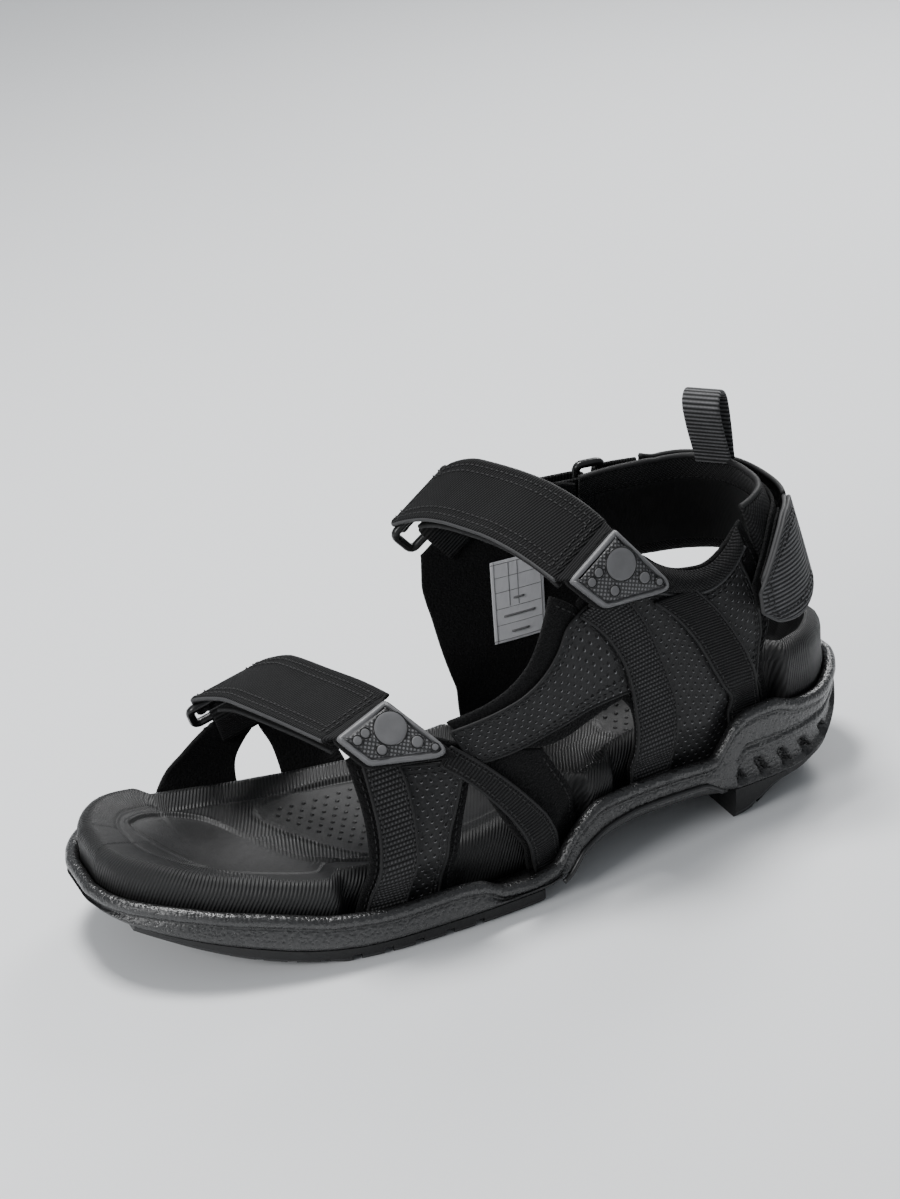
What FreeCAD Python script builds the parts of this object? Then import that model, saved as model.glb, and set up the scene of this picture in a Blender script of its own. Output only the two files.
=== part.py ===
# Strappy sport sandal, left foot, in millimetres.
# +X runs from toe to heel, -Y is the outer (lateral) side, +Y the inner (medial) side, +Z is up.
# The origin is on the ground, midway along the sole and midway across it.
import FreeCAD, Part
import math
import os

V = FreeCAD.Vector

# ---------------------------------------------------------------- driving dimensions
sole_length = 296.0          # toe tip to heel tip
ball_width = 107.0           # widest part of the sole
bead_wall = 4.9              # thickness of the midsole rim that cups the footbed
glue_gap = 0.35              # clearance between glued or sewn layers
outsole_thick = 5.5          # rubber under the ball
outsole_inset = 2.2          # outsole's edge from the sole's edge
lug_depth = 3.0              # depth of the grooves between lugs
groove_width = 3.2           # width of those grooves
lug_pitch = 11.5             # forefoot lugs, along the sole
lug_skew = 14.0              # degrees that the forefoot grooves lean back from the middle
spine_width = 7.0            # rib left down the middle of the forefoot
step_pitch = 10.5            # heel lugs
step_depth = 4.0             # depth of the heel's grooves
shank_thick = 2.6            # stiff plate under the arch
shank_inset = 4.0
bead_round = 1.2             # chamfer of the midsole's rim
footbed_corner = 4.0         # rounding of the footbed's top edge

lining_thick = 1.8           # soft lining against the foot
leather_thick = 1.0          # perforated overlay
webbing_thick = 1.5          # sewn webbing legs
upper_bulge = 4.0            # how far the upper swells out above the rim
tuck_depth = 1.0             # how far above the cup floor the upper's legs end
pocket_clear = 0.6           # room round a leg in its footbed pocket

strap_thick = 2.0            # fold-back strap
strap_base_thick = 1.6       # lower strap layer that crosses the foot
pad_thick = 1.3              # each half of the hook-and-loop fastener
fastener_clear = 0.4         # between the heel fastener's two halves
tab_thick = 2.8              # moulded pull tab at the strap's end
tab_seam = 0.045             # share of the strap's run that the tab's seam takes
fold_turn = 170.0            # degrees that a strap wraps round its loop's bar
front_strap_width = 28.0
ankle_strap_width = 28.0

ring_bar_radius = 1.6        # round bars of the loops that the straps turn round
ring_clear = 0.4             # running clearance of webbing round a bar
ring_side_clear = 1.2        # from a strap's edge to the loop's side bars
ring_height = 10.0           # strap bar to keeper bar
ring_side = 3.0              # side bars of a loop
keeper_thick = 1.4           # webbing that holds a loop
keeper_tail = 13.0           # length of its sewn tails
keeper_width = 20.0          # width of that webbing

collar_thick = 4.5           # padding round the heel
heel_base_thick = 1.2        # inner layer of the heel strap
heel_pad_thick = 0.9         # each half of its hook-and-loop fastener
heel_strap_thick = 1.6
heel_tab_thick = 1.4
heel_ring_level = 8.9        # middle of the heel loop's bars from the collar's inner face
heel_ring_width = 25.0
pull_loop_width = 14.0
pull_loop_height = 25.5      # above the collar
pull_loop_gap = 9.0          # between its two legs
pull_loop_at = 57.0          # angle round the heel
pull_loop_lean = 8.0         # degrees forward along the rim
pull_loop_twist = 13.0       # degrees off the rim's own direction
pull_loop_thick = 1.6
label_width = 21.0
label_height = 34.0
label_thick = 0.5


# ---------------------------------------------------------------- curves
def curve(points):
    """Smooth curve through (position, value) points that never overshoots them."""
    xs = [p[0] for p in points]
    ys = [p[1] for p in points]
    count = len(xs)
    step = [xs[i + 1] - xs[i] for i in range(count - 1)]
    rise = [(ys[i + 1] - ys[i]) / step[i] for i in range(count - 1)]
    slope = [rise[0]] + [0.0] * (count - 2) + [rise[-1]]
    for i in range(1, count - 1):
        if rise[i - 1] * rise[i] > 0:
            left = 2 * step[i] + step[i - 1]
            right = step[i] + 2 * step[i - 1]
            slope[i] = (left + right) / (left / rise[i - 1] + right / rise[i])

    def value(x):
        x = min(max(x, xs[0]), xs[-1])
        i = 0
        while i < count - 2 and x > xs[i + 1]:
            i += 1
        t = (x - xs[i]) / step[i]
        a = (1 + 2 * t) * (1 - t) ** 2 * ys[i] + t * (1 - t) ** 2 * step[i] * slope[i]
        b = t * t * (3 - 2 * t) * ys[i + 1] + t * t * (t - 1) * step[i] * slope[i + 1]
        return a + b

    return value


def path(points):
    """Smooth path through a list of tuples, run from 0 to 1 by its length."""
    run = [0.0]
    for a, b in zip(points, points[1:]):
        run.append(run[-1] + math.dist(a, b))
    axes = [curve([(s / run[-1], p[k]) for s, p in zip(run, points)]) for k in range(len(points[0]))]
    return lambda t: tuple(axis(t) for axis in axes)


def ease(t):
    t = min(max(t, 0.0), 1.0)
    return t * t * (3 - 2 * t)


def spread(first, last, count):
    return [first + (last - first) * i / (count - 1) for i in range(count)]


# ---------------------------------------------------------------- sole outline and heights
# Profiles are drawn for a sole of 296 x 107 and stretched to the driving sizes.
drawn_length = 296.0
drawn_width = 107.0
stretch = sole_length / drawn_length
widen = ball_width / drawn_width

lateral_edge = curve([(-148, -1), (-144.5, 10), (-135, 23), (-120, 34), (-100, 42.5), (-75, 49.5), (-50, 53),
                      (-25, 53.5), (-5, 52.8), (15, 50), (40, 45), (75, 42), (105, 40), (126, 34), (138, 24),
                      (145.5, 13), (148, 7)])
medial_edge = curve([(-148, 21), (-144.5, 31), (-135, 42), (-118, 49), (-100, 52), (-75, 53.5), (-50, 51.5),
                     (-25, 46), (-5, 41), (15, 38), (40, 37), (75, 38.5), (105, 38), (126, 33), (138, 23),
                     (145.5, 13), (148, 7)])
bead_top = curve([(-148, 31.5), (-134, 31), (-124, 30), (-114, 28), (-103, 26), (-91, 23.5), (-75, 20),
                  (-54, 18.5), (-32, 19), (-23, 18), (-14, 13.5), (-3, 12.5), (7, 14), (14, 22), (20, 27),
                  (29, 31), (44, 31), (60, 30.5), (76, 29.5), (82, 36), (86, 41), (93, 44.5), (102, 45),
                  (114, 41), (128, 39.5), (148, 40)])
midsole_bottom = curve([(-148, 23.5), (-130, 19.5), (-117, 16), (-100, 11.5), (-88, 8.6), (-75, 6.6),
                        (-65, 5.8), (2, 5.8), (12, 7.5), (20, 12), (30, 16), (45, 17.5), (70, 16.5),
                        (80, 14.5), (88, 13), (112, 13), (126, 15.5), (138, 20), (148, 29)])
cup_floor = curve([(-148, 27), (-130, 24), (-117, 20.5), (-100, 16.5), (-88, 13.5), (-75, 11.2),
                   (-60, 9.8), (5, 9.8), (15, 13), (30, 20), (45, 21), (76, 21), (90, 23), (110, 24),
                   (130, 26), (148, 31)])
footbed_rim = curve([(-148, 44), (-132, 43), (-112, 38.5), (-94, 34.5), (-72, 30.5), (-50, 29), (-20, 30),
                     (10, 35), (40, 41), (75, 48), (95, 56), (112, 61), (130, 60), (148, 57)])
footbed_sink = curve([(-148, 2), (-110, 4), (-50, 5), (10, 8), (60, 13), (100, 22), (125, 22), (139, 12),
                      (148, 6)])


def outline(x, inset=0.0):
    """Lateral and medial y of the sole outline, moved in by inset, at station x."""
    half = sole_length / 2
    drawn = x * half / (half - inset) / stretch
    return -(lateral_edge(drawn) * widen - inset), medial_edge(drawn) * widen - inset


def height(profile, x):
    return profile(x / stretch)


# ---------------------------------------------------------------- the upper's own surface
lean_lateral = curve([(-110, 27), (-55, 26), (-20, 18), (0, 12), (20, 9), (40, 9), (62, 9), (92, 10)])
lean_medial = curve([(-110, 26), (-60, 24), (-30, 10), (-8, 4), (10, 1.5), (40, 3), (92, 9)])
lean_height = curve([(-110, 78), (-90, 80), (-55, 88), (0, 115), (40, 128), (92, 120)])
lean_foot = 20.0             # height where the lean starts
lean_power = 2.16
upper_inset = 10.8           # the lining's inner face from the sole edge, below the rim
heel_turn = 92.0 * stretch   # where the sides start to turn round the heel
heel_power = 2.3
heel_back_low = 128.5        # back of the heel, inside, at heel_back_height
heel_back_height = 60.0
heel_back_slope = 0.25


def side_y(side, x, z):
    """Distance from the middle of the lining's inner face. side is -1 lateral, 1 medial."""
    edges = outline(x)
    edge = edges[1] if side > 0 else -edges[0]
    lean = (lean_medial if side > 0 else lean_lateral)(x / stretch)
    top = height(lean_height, x)
    rise = min(max((z - lean_foot) / (top - lean_foot), 0.0), 1.35)
    swell = upper_bulge * ease((z - height(bead_top, x) - 2) / 14)
    y = edge - upper_inset + swell - lean * rise ** lean_power
    if x > heel_turn:
        run = min((x - heel_turn) / heel_reach(z), 0.98)
        turned = side_y(side, heel_turn, z) * (1 - run ** heel_power) ** (1 / heel_power)
        above_cup = ease((z - 50) / 22)
        y = y * (1 - above_cup) + turned * above_cup
    return y


def heel_reach(z):
    """From the start of the heel's turn back to the inside of the heel at height z."""
    return heel_back_low * stretch - heel_back_slope * (z - heel_back_height) - heel_turn


def wall(side, x, z, level=0.0):
    """Point on the upper at station x and height z, level outward from the lining's inner face."""
    step = 0.5
    y = side_y(side, x, z)
    dx = (side_y(side, x + step, z) - side_y(side, x - step, z)) / (2 * step)
    dz = (side_y(side, x, z + step) - side_y(side, x, z - step)) / (2 * step)
    normal = V(-dx, 1, -dz).normalize()
    point = V(x, y, z) + normal * level
    return V(point.x, point.y * side, point.z)


def heel_wall(angle, z, level=0.0):
    """Point round the heel: 0 degrees is the medial side, 90 the back, 180 the lateral side."""
    reach = heel_reach(z) + level
    c = math.cos(math.radians(angle))
    s = abs(math.sin(math.radians(angle)))
    side = 1 if c >= 0 else -1
    half = side_y(side, heel_turn, z) + level
    return V(heel_turn + reach * s ** (2 / heel_power), side * half * abs(c) ** (2 / heel_power), z)


def round_wall(run, z, level=0.0):
    """Follows the medial side, the heel and the lateral side. run 0 to 180 turns round the heel;
    below 0 it goes forward in mm along the medial side, above 180 along the lateral side."""
    if run < 0:
        return wall(1, heel_turn + run, z, level)
    if run > 180:
        return wall(-1, heel_turn - (run - 180), z, level)
    return heel_wall(run, z, level)


# ---------------------------------------------------------------- solids
def smooth_surface(grid):
    """Cubic surface that follows a grid of points without waves between them."""
    count_u = len(grid)
    count_v = len(grid[0])
    degree_u = min(3, count_u - 1)
    degree_v = min(3, count_v - 1)
    mults_u = [degree_u + 1] + [1] * (count_u - degree_u - 1) + [degree_u + 1]
    mults_v = [degree_v + 1] + [1] * (count_v - degree_v - 1) + [degree_v + 1]
    surface = Part.BSplineSurface()
    surface.buildFromPolesMultsKnots(grid, mults_u, mults_v, list(range(len(mults_u))),
                                     list(range(len(mults_v))), False, False, degree_u, degree_v)
    return surface


def slab(inner, outer):
    """Closed solid between two grids of points of the same size."""
    faces = []
    surfaces = []
    for grid in (inner, outer):
        surface = smooth_surface(grid)
        surfaces.append(surface)
        faces.append(surface.toShape())
    a, b = surfaces
    u0, u1, v0, v1 = a.bounds()
    p0, p1, q0, q1 = b.bounds()
    pairs = [(a.uIso(u0), b.uIso(p0)), (a.uIso(u1), b.uIso(p1)), (a.vIso(v0), b.vIso(q0)),
             (a.vIso(v1), b.vIso(q1))]
    for first, second in pairs:
        faces.append(Part.makeRuledSurface(first.toShape(), second.toShape()))
    shell = Part.Shell(faces)
    shell.sewShape()
    solid = Part.Solid(shell)
    if solid.Volume < 0:
        solid.reverse()
    return solid


def loft(sections):
    """Solid through planar polygons, straight between neighbours."""
    wires = [Part.makePolygon(points + [points[0]]) for points in sections]
    return Part.makeLoft(wires, True, True)


def foot_of(x):
    """Height where the upper's legs end, inside the midsole cup."""
    return cup_floor(x) + tuck_depth


def patch(front, rear, low=None, high=None, across=8, up=13):
    """Grid of (x, z) between a front and a rear edge, each a list of points from the bottom up.
    low and high are the bottom and top edges from front to rear, straight if left out."""
    left = path(front)
    right = path(rear)
    on_floor = front[0][1] == foot_of(front[0][0]) and rear[0][1] == foot_of(rear[0][0])
    if low is None and on_floor:
        low = [(x, foot_of(x)) for x in spread(front[0][0], rear[0][0], 8)]
    bottom = path(low or [front[0], rear[0]])
    top = path(high or [front[-1], rear[-1]])
    grid = []
    for t in spread(0, 1, up):
        row = []
        for s in spread(0, 1, across):
            x, z = [(1 - s) * left(t)[k] + s * right(t)[k] + (1 - t) * bottom(s)[k] + t * top(s)[k]
                    - (1 - s) * (1 - t) * bottom(0)[k] - s * (1 - t) * bottom(1)[k]
                    - (1 - s) * t * top(0)[k] - s * t * top(1)[k] for k in (0, 1)]
            row.append((x * stretch, z))
        grid.append(row)
    return grid


def side_panel(side, grid, level, thick):
    """Panel of the upper on one side, from a patch of (x, z)."""
    inner = [[wall(side, x, z, level) for x, z in row] for row in grid]
    outer = [[wall(side, x, z, level + thick) for x, z in row] for row in grid]
    return slab(inner, outer)


# levels of the upper's layers, outward from the foot
leather_level = lining_thick + glue_gap
webbing_level = leather_level + leather_thick + glue_gap

nodes = {}


# ---------------------------------------------------------------- sole
def stations(first, last, step=5.0):
    count = max(2, int(abs(last - first) / step) + 1)
    return spread(first, last, count)


spine_y = 4.0 * widen        # middle of the ball of the foot


def tip_stations(inset, step=5.0):
    """Stations along the whole sole, closer together near the round tips."""
    end = sole_length / 2 - inset
    near = [0.0, 0.6, 1.8, 3.6, 6.0, 9.0, 13.0]
    front = [-end + d for d in near]
    middle = spread(front[-1], -front[-1], int(2 * -front[-1] / step))
    return front + middle[1:-1] + [-x for x in reversed(front)]


def make_midsole():
    body = []
    for x in tip_stations(0.0):
        y0, y1 = outline(x)
        z0 = height(midsole_bottom, x)
        z1 = height(bead_top, x)
        under = min(2.0, (y1 - y0) / 5)
        body.append([V(x, y0 + under, z0), V(x, y0, z0 + 2), V(x, y0, z1 - 2), V(x, y0 + bead_round, z1),
                     V(x, y1 - bead_round, z1), V(x, y1, z1 - 2), V(x, y1, z0 + 2), V(x, y1 - under, z0)])
    cup = []
    for x in tip_stations(bead_wall):
        y0, y1 = outline(x, bead_wall)
        z0 = height(cup_floor, x)
        z1 = height(bead_top, x) + 5
        cup.append([V(x, y0, z0), V(x, y0, z1), V(x, y1, z1), V(x, y1, z0)])
    return loft(body).cut(loft(cup))


def make_footbed(pockets):
    inset = bead_wall + glue_gap
    sections = []
    for x in tip_stations(inset):
        y0, y1 = outline(x, inset)
        z0 = height(cup_floor, x) + glue_gap
        z1 = height(footbed_rim, x)
        corner = min(footbed_corner, (y1 - y0) / 6)
        lip = min(11.0, (y1 - y0) / 4)
        sink = min(height(footbed_sink, x), z1 - z0 - 6)
        middle = (y0 + y1) / 2
        quarter = (y1 - y0) / 4
        points = [V(x, y0, z0), V(x, y0, z1 - corner), V(x, y0 + corner * 0.5, z1 - corner * 0.25),
                  V(x, y0 + corner, z1), V(x, y0 + lip, z1 - sink * 0.45)]
        points += [V(x, middle - quarter * 0.7, z1 - sink * 0.92), V(x, middle, z1 - sink),
                   V(x, middle + quarter * 0.7, z1 - sink * 0.92)]
        points += [V(x, y1 - lip, z1 - sink * 0.45), V(x, y1 - corner, z1),
                   V(x, y1 - corner * 0.5, z1 - corner * 0.25), V(x, y1, z1 - corner), V(x, y1, z0)]
        sections.append(points)
    body = loft(sections)
    for pocket in pockets:
        body = body.cut(pocket)
    return body


def leg_pocket(side, first, last):
    """Room that the footbed leaves for a leg of the upper between stations first and last."""
    depth = upper_inset + pocket_clear
    sections = []
    for x in stations(first * stretch, last * stretch, 6.0):
        y0, y1 = outline(x)
        edge = y1 if side > 0 else -y0
        near = edge - depth
        z0 = height(cup_floor, x) - 1
        z1 = height(footbed_rim, x) + 6
        sections.append([V(x, side * near, z0), V(x, side * (edge + 3), z0), V(x, side * (edge + 3), z1),
                         V(x, side * near, z1)])
    return loft(sections)


def make_outsole_forefoot():
    front = -137.0 * stretch
    back = 2.0 * stretch
    toe_share = 0.55         # of the full thickness, at the toe
    toe_run = 40.0
    wear = 0.5               # rubber made below the ground plane, then trimmed flat
    sections = []
    for x in stations(front, back, 4.5):
        y0, y1 = outline(x, outsole_inset)
        z1 = height(midsole_bottom, x) - glue_gap
        z0 = z1 - outsole_thick * (toe_share + (1 - toe_share) * ease((x - front) / toe_run))
        if z0 < wear:
            z0 = -wear
        sections.append([V(x, y0 + 2, z0), V(x, y0, max(z0, 0) + 2), V(x, y0, z1), V(x, y1, z1),
                         V(x, y1, max(z0, 0) + 2), V(x, y1 - 2, z0)])
    body = loft(sections)
    for i in range(1, int((back - front) / lug_pitch)):
        x = front + i * lug_pitch
        z = max(height(midsole_bottom, x) - glue_gap - outsole_thick, 0.0) + lug_depth
        for turn in (180 - lug_skew, lug_skew):
            groove = Part.makeBox(groove_width, ball_width, z + 10, V(-groove_width / 2, spine_width / 2, -10))
            groove.rotate(V(0, 0, 0), V(0, 0, 1), turn)
            groove.translate(V(x, spine_y, 0))
            body = body.cut(groove)
    return body.cut(below_ground())


def below_ground():
    """Everything below the ground plane."""
    return Part.makeBox(2 * sole_length, 2 * ball_width, 20, V(-sole_length, -ball_width, -20))


def make_outsole_heel():
    """Heel block: steep sides that lean in to the ground, lifted at the back, with stepped grooves."""
    front = 86.0 * stretch
    back = 138.0 * stretch
    sections = []
    for x in stations(front, back, 4.0):
        y0, y1 = outline(x, outsole_inset)
        z1 = height(midsole_bottom, x) - glue_gap
        run = (x - front) / (back - front)
        flat = 0.94 - 0.62 * ease(run)
        lift = 9.0 * ease((run - 0.55) / 0.45)
        side_z = min(3 + 9.5 * ease(run / 0.5), z1 - 2.2)
        middle = (y0 + y1) / 2
        half = (y1 - y0) / 2
        z0 = min(lift, side_z - 1)
        sections.append([V(x, middle - half * flat, z0), V(x, y0, side_z), V(x, y0, z1), V(x, y1, z1),
                         V(x, y1, side_z), V(x, middle + half * flat, z0)])
    body = loft(sections)
    for i in range(4):
        x = front + (i + 0.9) * step_pitch
        body = body.cut(Part.makeBox(groove_width, 2 * ball_width, step_depth + 10, V(x, -ball_width, -10)))
    spine = Part.makeBox(2 * back, groove_width, step_depth + 10, V(front + 6, -groove_width / 2, -10))
    return body.cut(spine)


def make_shank_plate():
    front = 6.0 * stretch
    back = 84.0 * stretch
    sections = []
    for x in stations(front, back, 5.0):
        y0, y1 = outline(x, shank_inset)
        z1 = height(midsole_bottom, x) - glue_gap
        sections.append([V(x, y0 + 2, z1 - shank_thick), V(x, y0, z1 - shank_thick + 1), V(x, y0, z1),
                         V(x, y1, z1), V(x, y1, z1 - shank_thick + 1), V(x, y1 - 2, z1 - shank_thick)])
    return loft(sections)


# ---------------------------------------------------------------- loops and webbing that turns round them
def ring_between(centre, keeper, bar, out, width):
    """Loop of two round bars joined by two flat sides."""
    inner = width / 2 + ring_side_clear
    length = 2 * (inner + ring_side)
    body = None
    for middle in (centre, keeper):
        rod = Part.makeCylinder(ring_bar_radius, length, middle - bar * (length / 2), bar)
        body = rod if body is None else body.fuse(rod)
    for side in (-1, 1):
        near = bar * (side * inner)
        far = bar * (side * (inner + ring_side))
        thick = out * ring_bar_radius
        ends = [[p + near - thick, p + far - thick, p + far + thick, p + near + thick]
                for p in (centre, keeper)]
        body = body.fuse(loft(ends))
    return body.removeSplitter()


def turned_webbing(centre, bar, start, ahead, first, last, thick, width, count=9):
    """Sections of webbing turning round a bar, from direction start towards ahead."""
    near_radius = ring_bar_radius + ring_clear
    half = bar * (width / 2)
    sections = []
    for a in spread(first, last, count):
        ray = start * math.cos(math.radians(a)) + ahead * math.sin(math.radians(a))
        near = centre + ray * near_radius
        far = centre + ray * (near_radius + thick)
        sections.append([near - half, near + half, far + half, far - half])
    return sections


# ---------------------------------------------------------------- straps
class Strap:
    """A flat strap between a front and a rear rail that run over the foot from the lateral tab
    to a loop on the medial side. Its outer face follows the rails; at the medial end it turns
    round the loop's strap bar."""

    def __init__(self, front, rear, width, keeper_at, ring_turn):
        self.width = width
        self.turn_angle = math.radians(ring_turn)
        self.keeper_at = (keeper_at[0] * stretch, keeper_at[1])
        x, z = keeper_at
        middle_level = (lining_thick + glue_gap + leather_thick) / 2
        self.keeper = wall(1, x * stretch, z, middle_level)
        turn = math.radians(ring_turn)
        ahead = wall(1, x * stretch + 2 * math.cos(turn), z + 2 * math.sin(turn), middle_level)
        behind = wall(1, x * stretch - 2 * math.cos(turn), z - 2 * math.sin(turn), middle_level)
        self.bar = (ahead - behind).normalize()
        down = wall(1, x * stretch + 3 * math.sin(turn), z - 3 * math.cos(turn), middle_level) - self.keeper
        down = down - self.bar * down.dot(self.bar)
        self.down = down.normalize()
        self.out = self.bar.cross(self.down)
        if self.out.y < 0:
            self.out = self.out * -1
        self.centre = self.keeper - self.down * ring_height
        self.front = path([(p[0] * stretch, p[1] * widen, p[2]) for p in front])
        self.rear = path([(p[0] * stretch, p[1] * widen, p[2]) for p in rear])
        # direction in which the strap arrives at the loop, square to the bar
        a = (V(*self.front(1)) + V(*self.rear(1))) / 2
        b = (V(*self.front(0.9)) + V(*self.rear(0.9))) / 2
        ahead = a - b
        ahead = ahead - self.bar * ahead.dot(self.bar)
        self.ahead = ahead.normalize()
        self.up = self.bar.cross(self.ahead)
        if self.up.z < 0:
            self.up = self.up * -1
        self.turn_radius = ring_bar_radius + ring_clear

    def section(self, t, depth, thick, trim=0.0):
        """Rectangle across the strap at t: 0 is the lateral end, 1 the start of the turn.
        depth is measured inward from the outer face, trim narrows both edges."""
        f = V(*self.front(t))
        r = V(*self.rear(t))
        step = 0.02
        a = (V(*self.front(min(t + step, 1))) + V(*self.rear(min(t + step, 1)))) / 2
        b = (V(*self.front(max(t - step, 0))) + V(*self.rear(max(t - step, 0)))) / 2
        across = (r - f).normalize()
        up = across.cross((a - b).normalize())
        if up.z < 0:
            up = up * -1
        up = up.normalize()
        middle = (f + r) / 2
        half = self.width / 2
        blend = ease((t - 0.80) / 0.20)
        end = self.centre + self.up * (self.turn_radius + strap_thick)
        middle = middle * (1 - blend) + end * blend
        across = (across * (1 - blend) + self.bar * blend).normalize()
        up = (up * (1 - blend) + self.up * blend).normalize()
        reach = half - trim
        corners = []
        for u, d in ((-reach, depth + thick), (reach, depth + thick), (reach, depth), (-reach, depth)):
            corners.append(middle + across * u - up * d)
        return corners

    def strip(self, first, last, depth, thick, trim=0.0, count=16):
        return [self.section(t, depth, thick, trim) for t in spread(first, last, count)]

    def flap(self):
        sections = self.strip(tab_seam, 1.0, 0.0, strap_thick, count=20)
        turn = turned_webbing(self.centre, self.bar, self.up, self.ahead, 0, fold_turn, strap_thick,
                              self.width, 10)
        return loft(sections + turn[1:])

    def base(self, last=0.88):
        depth = strap_thick + 2 * self.turn_radius
        return loft(self.strip(0.04, last, depth, strap_base_thick, 1.2))

    def hook_pad(self, first=0.05, last=0.42):
        return loft(self.strip(first, last, strap_thick + glue_gap, pad_thick, 2.5, 9))

    def loop_pad(self, first=0.05, last=0.52):
        depth = strap_thick + 2 * self.turn_radius - glue_gap - pad_thick
        return loft(self.strip(first, last, depth, pad_thick, 2.5, 9))

    def ring(self):
        return ring_between(self.centre, self.keeper, self.bar, self.out, self.width)

    def ring_keeper(self):
        """Webbing loop: a turn round the keeper bar and two tails along the upper."""
        radius = self.turn_radius
        half = self.bar * (keeper_width / 2)
        sections = turned_webbing(self.keeper, self.bar, self.out, self.down * -1, 0, 180, keeper_thick,
                                  keeper_width)
        outer = [self.tail_section(d, radius, half) for d in spread(keeper_tail, 1.5, 5)]
        inner = [self.tail_section(d, -radius - keeper_thick, half) for d in spread(1.5, keeper_tail, 5)]
        inner = [[s[3], s[2], s[1], s[0]] for s in inner]
        return loft(outer + sections + inner)

    def tail_section(self, down, level, half):
        """Section of a keeper tail, down mm below the keeper bar, level mm out from the middle layer."""
        x = self.keeper_at[0] + down * math.sin(self.turn_angle)
        z = self.keeper_at[1] - down * math.cos(self.turn_angle)
        middle = (lining_thick + glue_gap + leather_thick) / 2
        near = wall(1, x, z, middle)
        out = (wall(1, x, z, middle + 1) - near).normalize()
        near = near + out * level
        far = near + out * keeper_thick
        return [near - half, near + half, far + half, far - half]


def tab(corners, crown, thick, depth):
    """Moulded tab: corners go round from the strap's front edge, in 3-D."""
    a, b, c, d = [V(p[0] * stretch, p[1] * widen, p[2]) for p in corners]
    normal = (c - a).cross(d - b).normalize()
    if normal.y > 0:
        normal = normal * -1
    inner = []
    outer = []
    for t in spread(0, 1, 6):
        row_in = []
        row_out = []
        for s in spread(0, 1, 6):
            top = a * (1 - s) + b * s
            low = d * (1 - s) + c * s
            p = top * (1 - t) + low * t
            p = p + normal * (crown * 4 * s * (1 - s) * t * (1 - t) - depth)
            row_out.append(p)
            row_in.append(p - normal * thick)
        inner.append(row_in)
        outer.append(row_out)
    return slab(inner, outer)


front_strap = Strap(
    front=[(-66, -36, 81.6), (-70, -21.6, 79.8), (-77, 0, 78), (-80, 11, 76.8), (-83, 22.5, 75.3),
           (-88, 33, 73)],
    rear=[(-43.5, -34, 88.6), (-46, -22, 88.5), (-52, 2.4, 86.7), (-55, 13, 85.7), (-58, 25, 83.5),
          (-60, 34, 81)],
    width=front_strap_width, keeper_at=(-73, 61.5), ring_turn=17)
ankle_strap = Strap(
    front=[(21, -41, 116), (17, -31, 120), (12, -19, 124), (7, -6, 126), (2, 7, 126), (-3, 20, 124),
           (-8, 31, 121)],
    rear=[(44, -34, 128), (38.5, -22, 135), (32, -8, 139), (26, 5.5, 140), (19, 20, 140), (13, 32, 138)],
    width=ankle_strap_width, keeper_at=(10.5, 115.5), ring_turn=40)


# ---------------------------------------------------------------- heel closure
heel_base_level = collar_thick + glue_gap
heel_loop_level = heel_base_level + heel_base_thick + glue_gap
heel_hook_level = heel_loop_level + heel_pad_thick + fastener_clear
heel_strap_level = heel_hook_level + heel_pad_thick + glue_gap
heel_tab_level = heel_strap_level + heel_strap_thick + glue_gap
heel_ring_run = -17.0        # strap bar, forward of the heel's turn
heel_ring_z = 103.0
heel_split = 118.0           # angle round the heel where the strap's end peels away
collar_low = 77.0
heel_top = path([(-12, 116), (20, 116), (60, 114.5), (90, 114), (118, 114), (138, 113), (152, 108), (165, 99),
                 (174, 90)])
heel_low = path([(-12, 90), (20, 89), (60, 87), (90, 85.5), (118, 82), (138, 78), (152, 76), (165, 77.5),
                 (174, 83)])


def rail_z(rail, run):
    """Height of a heel strap edge at a run round the heel."""
    low, high = 0.0, 1.0
    for _ in range(30):
        middle = (low + high) / 2
        if rail(middle)[0] < run:
            low = middle
        else:
            high = middle
    return rail(low)[1]


def heel_band(first, last, level, thick, trim=0.0, count=17, rows=5):
    """Band round the heel between the strap's two edges, first to last run."""
    inner = []
    outer = []
    for run in spread(first, last, count):
        top = rail_z(heel_top, run) - trim
        low = rail_z(heel_low, run) + trim
        inner.append([round_wall(run, z, level) for z in spread(low, top, rows)])
        outer.append([round_wall(run, z, level + thick) for z in spread(low, top, rows)])
    return slab(inner, outer)


def make_heel_collar():
    front = -(heel_turn - 64.0 * stretch)
    top = path([(front, 117), (-10, 118), (40, 118), (90, 118), (140, 119), (166, 118)])
    low = path([(front, 84), (-10, 79), (40, 77), (90, collar_low), (130, collar_low), (151, 79)])
    inner = []
    outer = []
    for t in spread(0, 1, 22):
        run_low, z_low = low(t)
        run_top, z_top = top(t)
        row_in = []
        row_out = []
        for s in spread(0, 1, 6):
            run = run_low + (run_top - run_low) * s
            z = z_low + (z_top - z_low) * s
            crown = 0.62 + 0.38 * math.sqrt(max(0.0, 1 - (2 * s - 1) ** 4))
            row_in.append(round_wall(run, z, collar_thick * (1 - crown) * 0.5))
            row_out.append(round_wall(run, z, collar_thick * (1 + crown) * 0.5))
        inner.append(row_in)
        outer.append(row_out)
    return slab(inner, outer)


def heel_frame():
    """Middle of the heel loop's strap bar, its bar direction, forward direction and outward."""
    x = heel_turn + heel_ring_run
    centre = wall(1, x, heel_ring_z, heel_ring_level)
    bar = (wall(1, x, heel_ring_z + 5, heel_ring_level) - wall(1, x, heel_ring_z - 5, heel_ring_level))
    bar = bar.normalize()
    ahead = wall(1, x - 5, heel_ring_z, heel_ring_level) - centre
    ahead = (ahead - bar * ahead.dot(bar)).normalize()
    out = bar.cross(ahead)
    if out.y < 0:
        out = out * -1
    return centre, bar, ahead, out


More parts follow.
